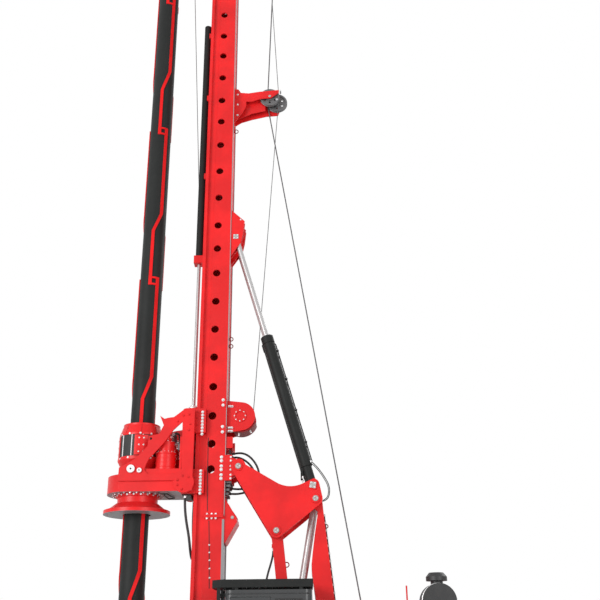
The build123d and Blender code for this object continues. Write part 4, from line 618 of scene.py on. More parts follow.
def tube(name, body, finish, points, radius, smooth=False, sides=6):
    """A bent pipe, rail or tight rope through points. Smooth ones follow a NURBS line."""
    data = bpy.data.curves.new(name, "CURVE")
    data.dimensions = "3D"
    data.bevel_depth = radius
    data.bevel_resolution = sides
    data.use_fill_caps = True
    data.resolution_u = 12
    kind = "NURBS" if smooth else "POLY"
    spline = data.splines.new(kind)
    spline.points.add(len(points) - 1)
    for spot, at in zip(spline.points, points):
        spot.co = (*at, 1)
    if smooth:
        spline.order_u = 3
        spline.use_endpoint_u = True
    data.materials.append(FINISH[finish])
    made = bpy.data.objects.new(name, data)
    scene.collection.objects.link(made)
    if body is None:
        drawn = bpy.data.meshes.new_from_object(made.evaluated_get(bpy.context.evaluated_depsgraph_get()))
        bpy.data.objects.remove(made)
        made = bpy.data.objects.new(name, drawn)
        scene.collection.objects.link(made)
    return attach(made, body) if body else made


def bending(name, finish, points, radius, smooth=True):
    """A line across a joint, made as a plain mesh in the machine's frame that rides on no body."""
    made = tube(name, None, finish, points, radius, smooth, 4)
    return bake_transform(made)


# Shared measures of the machine, in metres

BOOM_FOOT = (0.07, 2.365)
LINK_FOOT = (0.84, 1.76)
BOOM_HEAD = (0.35, 4.95)
LINK_HEAD = (1.12, 4.345)
LUFF_FOOT = (0.875, 2.0)
BACKSTAY_FOOT = (0.40, 5.21)
MAST_PIVOT = (1.88, 5.60)
BACKSTAY_HEAD = (2.03, 10.77)
MAST_FACE = 0.320
SIDES = (("left", 1), ("right", -1))
AUX_WINCH = (1.86, 6.66)
MAIN_WINCH = (-0.93, 2.15)
HEAD_MAIN_Z = 21.45
HEAD_AUX_Z = 21.35
STAY_Y = 0.220
SLED_CHEEK = 0.580
MOTOR_X = 3.34
TRACK_Y = 1.7
CAB_FRONT = 2.0
CAB_LEFT = 1.5
HOUSE_SIDE = 1.52
COUNTERWEIGHT_SIDE = 1.45
UP = (0, 0, 1)


def at_side(point, y):
    """A point of the side view, at y."""
    return (point[0], y, point[1])


def toward(start, end, distance, across=0.0):
    """The side-view point at a distance from start to end, and across to the rear."""
    way = (Vector(end) - Vector(start)).normalized()
    spot = Vector(start) + way * distance + Vector((-way.y, way.x)) * across
    return (spot.x, spot.y)


def arc(centre, radius, first, last):
    """Twelve steps along a circle, from one angle to another in degrees."""
    turns = [math.radians(first + (last - first) * i / 12) for i in range(13)]
    return [on_circle(centre, radius, turn) for turn in turns]


def round_sheave(centre, radius, first, last, y):
    """A rope's points round a sheave."""
    return [at_side(spot, y) for spot in arc(centre, radius, first, last)]


def outward(angle):
    """The level direction at an angle about an upright axis."""
    return Vector((math.cos(angle), math.sin(angle), 0))


on_stay = partial(toward, BACKSTAY_FOOT, BACKSTAY_HEAD)
on_boom = partial(toward, BOOM_FOOT, BOOM_HEAD)
on_luff = partial(toward, LUFF_FOOT, BOOM_HEAD)


# Hoses: each follows its CAD tube's own route, given in millimetres

MM_PER_M = 1000

HOSE_ROUTES = {
    "pivot_hose_outer": dict(
        body="mast", radius=0.021, length=1.785,
        route=(
            (2140, 45, 5905), (2060, 45, 5905), (1945, 45, 5935), (1815, 45, 5935), (1695, 45, 5880),
            (1595, 45, 5782), (1520, 45, 5660), (1478, 45, 5528), (1482, 45, 5394), (1540, 45, 5272),
            (1645, 45, 5182), (1780, 45, 5130), (1915, 45, 5108), (2040, 45, 5113), (2140, 45, 5113),
        ),
    ),
    "pivot_hose_inner": dict(
        body="mast", radius=0.021, length=1.498,
        route=(
            (2140, -45, 5850), (2065, -45, 5850), (1960, -45, 5872), (1855, -45, 5848), (1755, -45, 5790),
            (1672, -45, 5715), (1605, -45, 5622), (1568, -45, 5515), (1572, -45, 5402), (1622, -45, 5305),
            (1710, -45, 5242), (1818, -45, 5222), (1930, -45, 5220), (2040, -45, 5232), (2140, -45, 5232),
        ),
    ),
    "sled_hose": dict(
        body="sled", radius=0.025, length=2.731,
        route=(
            (2930, 285, 5070), (2930, 285, 4950), (2922, 285, 4810), (2903, 285, 4650), (2874, 285, 4490),
            (2840, 285, 4340), (2812, 285, 4180), (2796, 263, 4041), (2788, 201, 3948), (2784, 109, 3887),
            (2783, 0, 3865), (2784, -109, 3887), (2788, -201, 3948), (2794, -263, 4041), (2801, -285, 4160),
            (2813, -285, 4310), (2822, -285, 4470), (2827, -285, 4630), (2828, -285, 4790),
            (2824, -285, 4940), (2824, -285, 5070),
        ),
    ),
    "link_hose": dict(
        body="front_link", radius=0.020, length=1.608,
        route=(
            (1188, 100, 4050), (1188, 100, 3970), (1207, 100, 3860), (1243, 100, 3730), (1288, 100, 3590),
            (1324, 100, 3440), (1334, 100, 3280), (1316, 100, 3110), (1272, 100, 2950), (1208, 100, 2810),
            (1144, 100, 2690), (1110, 100, 2590), (1110, 100, 2500),
        ),
    ),
}
FERRULE = [(0, 0), (1.35, 0), (1.35, 0.4), (1.22, 0.5), (1.22, 2.6), (1.06, 2.8), (1.0, 2.8)]
for hose_name, spec in HOSE_ROUTES.items():
    spots_on_it = [Vector(spot) / MM_PER_M for spot in spec["route"]]
    hose = tube(f"{hose_name}_cover", spec["body"], "hose", spots_on_it, spec["radius"], True)
    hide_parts(hose_name)
    for end_name, spot, inward in (
        ("start", spots_on_it[0], spots_on_it[1] - spots_on_it[0]),
        ("end", spots_on_it[-1], spots_on_it[-2] - spots_on_it[-1]),
    ):
        r = spec["radius"]
        crimp = [(radius * r, step * r) for radius, step in FERRULE]
        lathe(f"{hose_name}_ferrule_{end_name}", spec["body"], "zinc", spot, inward, crimp, 24)


# Ropes: the main rope from the winch to the kelly's swivel, and the auxiliary rope

MAIN_ROPE = 0.014
AUX_ROPE = 0.008


tube(
    "main_rope_rear", "mast", "rope",
    [
        (-0.642, -0.09, 2.16),
        *round_sheave((1.119, 14.60), 0.222 + MAIN_ROPE, -9, 2, -0.062),
        *round_sheave((1.42, HEAD_MAIN_Z), 0.292 + MAIN_ROPE, 182, 90, 0.005),
        *round_sheave((3.60, HEAD_MAIN_Z), 0.292 + MAIN_ROPE, 90, 0, 0.005),
    ],
    MAIN_ROPE,
)
bending(
    "main_rope_front", "rope",
    [(3.906, 0.005, HEAD_MAIN_Z), (3.918, 0, 20.6), (KELLY_X, 0, 19.74)], MAIN_ROPE, False,
)
tube(
    "aux_rope", "mast", "rope",
    [
        (1.62, 0.03, 6.66),
        *round_sheave((1.292, 14.68), 0.212 + AUX_ROPE, 183.9, 176.8, 0.062),
        *round_sheave((1.65, HEAD_AUX_Z), 0.192 + AUX_ROPE, 176.8, 90, -0.115),
        *round_sheave((3.25, HEAD_AUX_Z), 0.192 + AUX_ROPE, 90, -3.6, -0.115),
        (2.895, -0.15, 10.98),
    ],
    AUX_ROPE,
)


def wound(name, body, centre, radius, half, rope, turns):
    """Rope wound on a drum in one touching layer."""
    per_turn = 20
    count = turns * per_turn
    line = []
    for i in range(count + 1):
        y = -half + rope + (2 * half - 2 * rope) * i / count
        line.append(at_side(on_circle(centre, radius, 2 * math.pi * i / per_turn), y))
    return tube(name, body, "rope", line, rope * 1.04, sides=2)


wound("main_rope_wound", "main_winch", MAIN_WINCH, 0.302, 0.290, MAIN_ROPE, 20)
wound("aux_rope_wound", "aux_winch", AUX_WINCH, 0.232, 0.172, AUX_ROPE, 21)

# Rope keepers on the guide's arms
for keeper_name, (x, z), y0, y1 in (
    ("rope_keeper_front", (1.52, 14.66), -0.112, 0.112),
    ("rope_keeper_rear", (1.03, 14.86), -0.012, 0.112),
):
    lathe(keeper_name, "mast", "zinc", (x, y0, z), (0, 1, 0), disc(0.02, y1 - y0), 20)


# Pins and their keepers on the rocker and the boom


def drawn_in(outline, centre, kept, drawn):
    """An outline's points, drawn toward a centre. The two shares add up to 1."""
    return [(x * kept + centre[0] * drawn, z * kept + centre[1] * drawn) for x, z in outline]


PIN_CAP = [(0, 0), (0.058, 0), (0.058, 0.008), (0.050, 0.014), (0.016, 0.014), (0.016, 0.006), (0, 0.006)]
for hand, side in SIDES:
    out = (0, side, 0)
    for cap_name, body, spot, y in (
        ("mast_pivot_cap", "triangle", MAST_PIVOT, 0.420),
        ("boom_head_cap", "triangle", BOOM_HEAD, 0.415),
        ("link_head_cap", "triangle", LINK_HEAD, 0.415),
        ("boom_foot_cap", "upper", BOOM_FOOT, 0.342),
        ("link_foot_cap", "upper", LINK_FOOT, 0.342),
    ):
        lathe(f"{cap_name}_{hand}", body, "pin_steel", at_side(spot, side * y), out, PIN_CAP, 40)
        if body == "triangle":
            boss = [(0.06, 0), (0.092, 0), (0.092, 0.014), (0.086, 0.02), (0.06, 0.02)]
            lathe(f"{cap_name}_boss_{hand}", body, "red_paint", at_side(spot, side * 0.395), out, boss, 48)
        cap_face = at_side(spot, side * (y + 0.013))
        bolt_ring(f"{cap_name}_bolts_{hand}", body, cap_face, out, 0.033, 3, 0.013, 0.009)
    tilt = math.radians(10)
    half = 0.062
    square = [
        (
            BACKSTAY_FOOT[0] + x * math.cos(tilt) - z * math.sin(tilt),
            BACKSTAY_FOOT[1] + x * math.sin(tilt) + z * math.cos(tilt),
        )
        for x, z in ((-half, -half), (half, -half), (half, half), (-half, half))
    ]
    side_plate(f"backstay_keeper_{hand}", "triangle", "pin_steel", square, side * 0.417, side * 0.429)
    corners = [at_side(spot, side * 0.429) for spot in drawn_in(square, BACKSTAY_FOOT, 0.62, 0.38)]
    bolts(f"backstay_keeper_bolts_{hand}", "triangle", corners, out, 0.024, 0.014)
    keeper = [(1.972, 10.712), (2.088, 10.712), (2.088, 10.828), (1.972, 10.828)]
    side_plate(f"fin_keeper_{hand}", "mast", "pin_steel", keeper, side * 0.298, side * 0.308)
    corners = [at_side(spot, side * 0.308) for spot in drawn_in(keeper, BACKSTAY_HEAD, 0.6, 0.4)]
    bolts(f"fin_keeper_bolts_{hand}", "mast", corners, out, 0.024, 0.014)
    bolts(f"fin_bolt_{hand}", "mast", [(1.93, side * 0.298, 11.2)], out, 0.026)


# Bolted faces of the sled, the mast's bracket, its joint and the winch's pads

for hand, side in SIDES:
    out = (0, side, 0)
    shoe = side * 0.4405
    rows = [top - i * (top - foot) / 7 for top, foot in ((6.703, 6.246), (5.506, 5.066)) for i in range(8)]
    bolts(f"sled_shoe_bolts_{hand}", "sled", [(2.62, shoe, z) for z in rows], out, 0.036, 0.030)
    bolts(
        f"sled_front_bolts_{hand}", "sled", [(2.72, shoe, z) for z in rows[::2]], out, 0.022, 0.014,
        "red_paint",
    )
    bracket_rows = (5.796, 5.724, 5.618, 5.546, 5.441, 5.369)
    for part, x, across, height in (("bracket", 2.223, 0.040, 0.026), ("bracket_rear", 2.034, 0.026, 0.018)):
        places = [(x, side * 0.340, z) for z in bracket_rows]
        bolts(f"{part}_bolts_{hand}", "mast", places, out, across, height)
    xs = (2.478, 2.386, 2.306)
    bolts(f"joint_bolts_{hand}", "mast", [(x, side * 0.343, 4.67) for x in xs], UP, 0.036, 0.030)
    bolts(f"joint_nuts_{hand}", "mast", [(x, side * 0.343, 4.61) for x in xs], (0, 0, -1), 0.036, 0.030)
    bolts(
        f"lower_mast_bolts_{hand}", "mast",
        [(2.418 - i * 0.006, side * MAST_FACE, z) for i, z in enumerate((4.097, 3.958, 3.814, 3.662, 3.492))],
        out, 0.022, 0.014,
    )
    for pad, z0, z1 in (("upper", 6.835, 7.02), ("lower", 6.275, 6.46)):
        outline = [(2.15, z0), (2.265, z0), (2.265, z1), (2.15, z1)]
        faces = side * MAST_FACE, side * (MAST_FACE + 0.012)
        side_plate(f"winch_pad_{pad}_{hand}", "mast", "red_paint", outline, *faces)
    pad_rows = (6.984, 6.874, 6.422, 6.314)
    bolts(f"winch_pad_bolts_{hand}", "mast", [(2.219, side * 0.332, z) for z in pad_rows], out, 0.040, 0.026)
    bar_rows = [(x, z) for z in (6.87, 6.42, 6.35) for x in (2.035, 2.068, 2.10)]
    bolts(f"winch_bar_bolts_{hand}", "mast", [(x, side * 0.235, z) for x, z in bar_rows], out, 0.030, 0.05)
    cover = [
        (0.085, 0), (0.135, 0), (0.135, 0.014), (0.128, 0.018), (0.092, 0.018), (0.085, 0.012), (0.085, 0),
    ]
    lathe(f"winch_cover_{hand}", "mast", "red_paint", (1.875, side * 0.235, 6.67), out, cover, 64)
    bolt_ring(f"winch_cover_bolts_{hand}", "mast", (1.875, side * 0.253, 6.67), out, 0.112, 8, 0.016, 0.012)
    bolts(f"foot_lug_bolt_{hand}", "mast", [(2.046, side * 0.150, 4.674)], out, 0.050, 0.03)


# Rotary drive: pins, flange bolts, and the damper's bolts, panels, rods and seams

for hand, side in SIDES:
    out = (0, side, 0)
    for pin_name, x, z, r in (
        ("drive_pin_large", 3.98, 5.533, 0.080), ("drive_pin_small", 3.81, 5.501, 0.050),
    ):
        face = [
            (0, 0), (r, 0), (r, 0.006), (r * 0.9, 0.012), (r * 0.45, 0.012), (r * 0.42, 0.004),
            (0.2 * r, 0.004), (0, 0.003),
        ]
        lathe(f"{pin_name}_{hand}", "sled", "zinc", (x, side * 0.608, z), out, face, 48)
        hollow = disc(r * 0.22, 0.006)
        lathe(f"{pin_name}_centre_{hand}", "sled", "rubber", (x, side * 0.611, z), out, hollow, 24)
    boss = [on_circle((2.93, 5.26), 0.135, math.radians(a)) for a in (20, 75, 130, 285, 340)]
    cheek = [(2.99, 6.60), (2.88, 6.62), (2.85, 6.42), (2.87, 6.30), (3.10, 6.48)]
    for part, spots_on_it, across, height in (("boss", boss, 0.036, 0.022), ("cheek", cheek, 0.034, 0.02)):
        places = [at_side(spot, side * SLED_CHEEK) for spot in spots_on_it]
        bolts(f"sled_{part}_bolts_{hand}", "sled", places, out, across, height, "red_paint")

bolt_ring("gearbox_foot_bolts", "sled", (KELLY_X, 0, 5.1), (0, 0, -1), 0.500, 24, 0.030, 0.026, 0.13)


def radial_bolts(name, radius, places, across, height):
    """Bolt heads at (angle, z) places that look outward from the drive's axis."""
    bm = bmesh.new()
    for angle, z in places:
        out = outward(angle)
        add_bolt(bm, Vector((KELLY_X, 0, z)) + out * radius, out, across, height)
    return piece(name, bm, "zinc", "kelly_drive")


for name, radius, z, count, height, first in (
    ("sleeve_neck_bolts", 0.438, 5.075, 20, 0.016, 0.0),
    ("damper_foot_bolts", 0.448, 5.80, 12, 0.011, 0.13),
    ("damper_top_bolts", 0.433, 6.29, 12, 0.015, 0.13),
):
    places = [(first + 2 * math.pi * i / count, z) for i in range(count)]
    radial_bolts(name, radius, places, 0.026, height)

PANEL_ANGLES = (101, 191, 281, 371)
bm = bmesh.new()
for middle in PANEL_ANGLES:
    inner, outer = (arc((KELLY_X, 0), radius, middle - 18, middle + 18) for radius in (0.425, 0.445))
    add_prism(bm, Matrix.Identity(4), inner + outer[::-1], 5.845, 6.255)
closed_piece("damper_panels", bm, "red_paint", "kelly_drive")
places = [(math.radians(a + step), z) for a in PANEL_ANGLES for z in (5.91, 6.05, 6.19) for step in (-6, 6)]
radial_bolts("damper_panel_bolts", 0.444, places, 0.020, 0.012)
bm = bmesh.new()
for i in range(12):
    angle = math.radians(15 + 30 * i)
    at = (*on_circle((KELLY_X, 0), 0.430, angle), 5.832)
    add_lathe(bm, facing(at, (0, 0, 1)), disc(0.0142, 0.436), 16)
piece("damper_rods", bm, "chrome", "kelly_drive")
bm = bmesh.new()
for i in range(8):
    angle = math.radians(10 + 45 * i)
    out = outward(angle)
    across = Vector((-out.y, out.x, 0))
    low = Vector((KELLY_X, 0, 6.312)) + out * 0.434
    high = Vector((KELLY_X, 0, 6.484)) + out * 0.374
    corners = [bm.verts.new(end + across * w) for end in (low, high) for w in (-0.004, 0.004)]
    outer = [bm.verts.new(end + across * w + out * 0.004) for end in (low, high) for w in (-0.003, 0.003)]
    bm.faces.new([outer[0], outer[1], outer[3], outer[2]])
    for a, b in ((0, 1), (1, 3), (3, 2), (2, 0)):
        bm.faces.new([corners[a], corners[b], outer[b], outer[a]])
closed_piece("top_ring_seams", bm, "red_dark", "kelly_drive")


# Motors, hoses and fittings on the sled

for hand, side in SIDES:
    y = side * 0.33
    radius, height = 0.2, 0.03
    band = [
        (radius - 0.01, 0), (radius + 0.003, 0), (radius + 0.006, 0.006), (radius + 0.006, height - 0.006),
        (radius + 0.003, height), (radius - 0.01, height), (radius - 0.01, 0),
    ]
    for band_name, z in (("motor_band_low", 5.66), ("motor_band_high", 5.75)):
        lathe(f"{band_name}_{hand}", "sled", "red_paint", (MOTOR_X, y, z), UP, band, 64)
    bolt_ring(f"motor_foot_bolts_{hand}", "sled", (MOTOR_X, y, 5.885), UP, 0.186, 16, 0.020, 0.016)
    bolt_ring(f"motor_head_bolts_{hand}", "sled", (MOTOR_X, y, 6.10), UP, 0.145, 10, 0.022, 0.016)
    motor_body = [
        (0, 0), (0.112, 0), (0.112, 0.02), (0.106, 0.03), (0.106, 0.12), (0.112, 0.13), (0.112, 0.15),
        (0.085, 0.17), (0.06, 0.175), (0, 0.175),
    ]
    lathe(f"motor_cap_{hand}", "sled", "cast_iron", (MOTOR_X, y, 6.235), UP, motor_body, 48)
    for i, turn in enumerate((150, 180, 210)):
        away = outward(math.radians(turn))
        start = Vector((MOTOR_X, y, 6.20 + 0.05 * i)) + away * 0.100
        fitting = necked(0.024, 0.02, 0.018, 0.024, 0.06)
        lathe(f"motor_port_{i}_{hand}", "sled", "zinc", start, away, fitting, 20)
        end = Vector((3.06, y * 1.05 + side * 0.035 * (i - 1), 6.05 - 0.03 * i))
        turn_point = start + away * 0.13 + Vector((0, 0, 0.05))
        drop = end + Vector((0.02, 0, 0.22))
        run = [start + away * 0.04, turn_point, drop, end]
        tube(f"motor_line_{i}_{hand}", "sled", "hose", run, 0.013, True, 4)
        lathe(f"motor_line_end_{i}_{hand}", "sled", "zinc", end, UP, disc(0.019, 0.045), 20)
    manifold = ((3.04, y - 0.11, 5.93), (3.10, y + 0.11, 6.06))
    blocks(f"motor_manifold_{hand}", "sled", "cast_iron", [manifold])
blocks(
    "hose_bulkhead", "sled", "black_plastic",
    [((2.80, -0.34, 5.046), (2.99, 0.34, 5.0705)), ((2.80, -0.34, 4.99), (2.812, 0.34, 5.05))], 0.003,
)
nut = [
    (0, 0), (0.098, 0), (0.105, 0.008), (0.105, 0.03), (0.092, 0.042), (0.062, 0.042), (0.062, 0.07),
    (0.038, 0.075),
]
lathe("crowd_rod_nut", "sled", "zinc", (2.87, 0, 6.88), UP, nut, 48)
bolt_ring("crowd_nut_bolts", "sled", (2.87, 0, 6.922), UP, 0.077, 8, 0.018, 0.016)
tube(
    "gearbox_drain_pipe", "sled", "hose",
    [
        (3.43, 0.40, 5.105), (3.43, 0.40, 5.075), (3.27, 0.36, 5.075), (3.25, 0.12, 5.075),
        (3.20, -0.16, 5.075), (3.33, -0.25, 5.075), (3.36, 0.10, 5.075), (3.36, 0.20, 5.105),
    ],
    0.012, False, 4,
)
for hand, side in SIDES:
    tube(
        f"grease_line_{hand}", "sled", "zinc",
        [
            (2.80, side * 0.446, 6.29), (2.80, side * 0.452, 6.18), (2.80, side * 0.452, 5.60),
            (2.80, side * 0.446, 5.53),
        ],
        0.006, False, 3,
    )


# Pipes and glands of the cylinders, thin hoses, and the boom's plates with their conduits

for hand, side in SIDES:
    y = side * STAY_Y
    rear = 0.122 + 0.016
    start = on_stay(0.50, rear)
    end = on_stay(3.10, rear)
    bend = on_stay(3.16, 0.10)
    tube(
        f"backstay_pipe_{hand}", "backstay_barrels", "dark_paint",
        [at_side(on_stay(0.46, 0.10), y), at_side(start, y), at_side(end, y), at_side(bend, y)],
        0.013, False, 4,
    )
    clip_list = []
    for distance in (0.9, 1.6, 2.3, 2.95):
        spot = on_stay(distance, rear)
        clip_list.append(
            ((spot[0] - 0.024, y - 0.03, spot[1] - 0.018), (spot[0] + 0.02, y + 0.03, spot[1] + 0.018))
        )
    blocks(f"backstay_clips_{hand}", "backstay_barrels", "black_plastic", clip_list, 0.004)
    gland_way = Vector(at_side(BACKSTAY_HEAD, 0)) - Vector(at_side(BACKSTAY_FOOT, 0))
    gland = [
        (0.058, 0), (0.118, 0), (0.118, 0.012), (0.105, 0.022), (0.078, 0.022), (0.070, 0.03), (0.058, 0.03),
    ]
    lathe(
        f"backstay_gland_{hand}", "backstay_barrels", "cast_iron", at_side(on_stay(3.31), y), gland_way,
        gland,
    )
    bolt_ring(
        f"backstay_gland_bolts_{hand}", "backstay_barrels",
        at_side(on_stay(3.332), y), gland_way, 0.092, 8, 0.018, 0.014,
    )
bending(
    "backstay_thin_hose", "hose",
    [
        (0.414, 0.3, 5.694), (0.329, 0.3, 5.616), (0.217, 0.3, 5.472), (0.125, 0.3, 5.328),
        (0.074, 0.3, 5.214), (0.063, 0.3, 5.101), (0.085, 0.3, 4.989), (0.143, 0.3, 4.924),
        (0.21, 0.29, 4.907),
    ],
    0.009,
)
lathe(
    "thin_hose_port", "backstay_barrels", "zinc", (0.425, 0.30, 5.70), (0.35, -0.9, 0.1),
    necked(0.02, 0.03, 0.014, 0.034, 0.05), 20,
)

luff_way = Vector(at_side(BOOM_HEAD, 0)) - Vector(at_side(LUFF_FOOT, 0))
luff_rear = 0.115 + 0.013
tube(
    "luff_pipe", "luff_barrel", "dark_paint",
    [
        at_side(on_luff(d, a), 0)
        for d, a in ((0.30, 0.09), (0.32, luff_rear), (1.30, luff_rear), (1.34, 0.09))
    ],
    0.011, False, 4,
)
luff_gland = [(0.078, 0), (0.118, 0), (0.118, 0.012), (0.108, 0.02), (0.085, 0.02), (0.078, 0.026)]
lathe("luff_gland", "luff_barrel", "cast_iron", at_side(on_luff(1.44), 0), luff_way, luff_gland)
bolt_ring("luff_gland_bolts", "luff_barrel", at_side(on_luff(1.46), 0), luff_way, 0.098, 8, 0.018, 0.014)

BOOM_LENGTH = (Vector(BOOM_HEAD) - Vector(BOOM_FOOT)).length
BOOM_REAR = 0.127
BOOM_FRONT = [
    (0.75, -0.228), (1.05, -0.232), (1.24, -0.238), (1.42, -0.222), (1.61, -0.179), (1.98, -0.086),
    (2.36, 0.020),
]


def boom_outline(inset=0.0, end=None):
    """The boom's side view from the foot eye to the head eye, or to a distance along it."""
    foot = arc((0, 0), 0.16 - inset, 110, 250)
    front = [(d, across + inset) for d, across in BOOM_FRONT if end is None or d < end]
    if end is None:
        head = arc((BOOM_LENGTH, 0), 0.134, -120, 90)
    else:
        head = [(end, front[-1][1]), (end, BOOM_REAR - inset)]
    rear = [(BOOM_LENGTH - 0.34, BOOM_REAR)] if end is None else []
    rear.append((0.45, BOOM_REAR - inset))
    return [on_boom(d, across) for d, across in foot + front + head + rear]


bm = bmesh.new()
for low, high in ((0.132, 0.250), (-0.250, -0.132)):
    add_prism(bm, SIDE_VIEW, boom_outline(), low, high)
add_prism(bm, SIDE_VIEW, boom_outline(0.012, 1.35), -0.1325, 0.1325)
boom_body = rounded(closed_piece("boom_body", bm, "red_paint", "boom"), 0.005)
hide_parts("boom")
for i, y in enumerate((0.175, 0.20, 0.225)):
    line = [at_side(on_boom(d, BOOM_REAR + 0.011), y) for d in (0.60, BOOM_LENGTH - 0.30)]
    tube(f"boom_conduit_{i}", "boom", "hose", line, 0.010, False, 4)
clips = []
for i in range(12):
    spot = on_boom(0.68 + 0.145 * i, BOOM_REAR + 0.006)
    clips.append(((spot[0] - 0.022, 0.160, spot[1] - 0.022), (spot[0] + 0.022, 0.245, spot[1] + 0.022)))
blocks("boom_conduit_clips", "boom", "pin_steel", clips, 0.004)


def ring_eye(name, body, centre, y, radius, bar):
    """A welded lifting ring of round bar that stands in the side view."""
    bm = bmesh.new()
    bends, sides = 32, 10
    rings = []
    for i in range(bends):
        a = 2 * math.pi * i / bends
        rings.append(
            [
                bm.verts.new(
                    (
                        centre[0] + (radius + bar * math.cos(b)) * math.cos(a),
                        y + bar * math.sin(b),
                        centre[1] + (radius + bar * math.cos(b)) * math.sin(a),
                    )
                )
                for b in (2 * math.pi * j / sides for j in range(sides))
            ]
        )
    for i in range(bends):
        one, two = rings[i], rings[(i + 1) % bends]
        for j in range(sides):
            k = (j + 1) % sides
            bm.faces.new([one[j], two[j], two[k], one[k]])
    return closed_piece(name, bm, "red_dark", body)


for name, body, centre, y, radius in (
    ("mast_ring_low", "mast", (2.095, 8.20), 0.20, 0.042),
    ("mast_ring_high", "mast", (2.095, 8.36), 0.20, 0.042),
    ("mast_ring_top", "mast", (2.085, 13.62), 0.20, 0.048),
    ("link_ring", "front_link", (0.926, 3.725), 0.20, 0.045),
    ("boom_ring", "boom", (0.143, 4.451), 0.10, 0.034),
):
    ring_eye(name, body, centre, y, radius, 0.010)


# Conduit and edge bar on the mast's near side, and the backstay's second thin hose

for conduit_name, line in (
    ("mast_conduit_low", ((2.440, 4.55), (2.418, 4.10), (2.395, 3.30))),
    ("mast_conduit_high", ((2.502, 6.2), (2.496, 5.47), (2.474, 4.74))),
):
    tube(conduit_name, "mast", "hose", [at_side(spot, 0.326) for spot in line], 0.006, False, 3)
side_plate(
    "mast_edge_bar", "mast", "red_paint", [(2.176, 4.68), (2.192, 4.68), (2.192, 5.33), (2.176, 5.33)], 0.320,
    0.334, 0.002,
)
inner_hose = [
    (0.434, 0.3, 5.672), (0.349, 0.3, 5.600), (0.240, 0.3, 5.462), (0.150, 0.3, 5.318), (0.098, 0.3, 5.208),
    (0.086, 0.3, 5.101), (0.105, 0.3, 5.005), (0.155, 0.3, 4.944), (0.21, 0.29, 4.925),
]
bending("backstay_thin_hose_inner", "hose", inner_hose, 0.008)


# The bracket over the pivot hoses with its ports, their manifolds, and the winch's guard

blocks(
    "pivot_hose_bracket", "mast", "red_paint",
    [
        ((2.005, -0.30, 5.97), (2.145, 0.30, 5.99)), ((2.005, 0.285, 5.97), (2.145, 0.30, 6.22)),
        ((2.005, -0.30, 5.97), (2.145, -0.285, 6.22)),
    ],
)
for i, y in enumerate((0.24, 0.17, 0.08, -0.08, -0.17)):
    body_line = [
        (0, 0), (0.026, 0), (0.026, 0.03), (0.019, 0.036), (0.019, 0.09), (0.013, 0.1), (0.013, 0.15),
        (0, 0.15),
    ]
    lathe(f"pivot_port_{i}", "mast", "zinc", (2.07, y, 5.99), UP, body_line, 20)
    elbow = [(2.07, y, 5.995), (2.07, y, 5.93), (2.05, y * 0.8, 5.86), (1.99, y * 0.55, 5.83)]
    tube(f"pivot_line_{i}", "mast", "hose", elbow, 0.013, True, 4)
for i, z in enumerate((5.31, 5.24, 5.16, 5.08)):
    reach = 0.115 - 0.018 * i
    blocks(
        f"pivot_manifold_{i}", "mast", "cast_iron",
        [
            ((2.142 - reach, 0.10, z - 0.024), (2.142, 0.27, z + 0.024)),
            ((2.142 - reach, -0.27, z - 0.024), (2.142, -0.10, z + 0.024)),
        ],
    )
outer = arc(AUX_WINCH, 0.335, 200, 296)
inner = arc(AUX_WINCH, 0.310, 200, 296)[::-1]
side_plate("winch_guard", "mast", "red_dark", outer + inner, -0.225, 0.225, 0.003)
for i, a in enumerate((236, 276)):
    out = Vector((math.cos(math.radians(a)), 0, math.sin(math.radians(a))))
    at = Vector(at_side(AUX_WINCH, 0.13)) + out * 0.335
    lathe(f"winch_guard_port_{i}", "mast", "zinc", at, out, necked(0.024, 0.02, 0.016, 0.026, 0.06), 20)


# Valve block on each backstay's neck

for hand, side in SIDES:
    centre = on_stay(0.33, -0.105)
    low = (centre[0] - 0.008, side * STAY_Y - 0.05, centre[1] - 0.075)
    high = (centre[0] + 0.045, side * STAY_Y + 0.05, centre[1] + 0.085)
    blocks(f"backstay_valve_{hand}", "backstay_barrels", "dark_paint", [(low, high)])
    port = necked(0.02, 0.02, 0.014, 0.024, 0.05)
    lathe(
        f"backstay_valve_port_{hand}", "backstay_barrels", "zinc",
        (centre[0], side * STAY_Y, centre[1] - 0.075), (0.2, 0, -1), port, 20,
    )


# Operator's seat: padded cushions with seams, arm pads and stand, then the console and the levers

SEAT_Y = 1.01


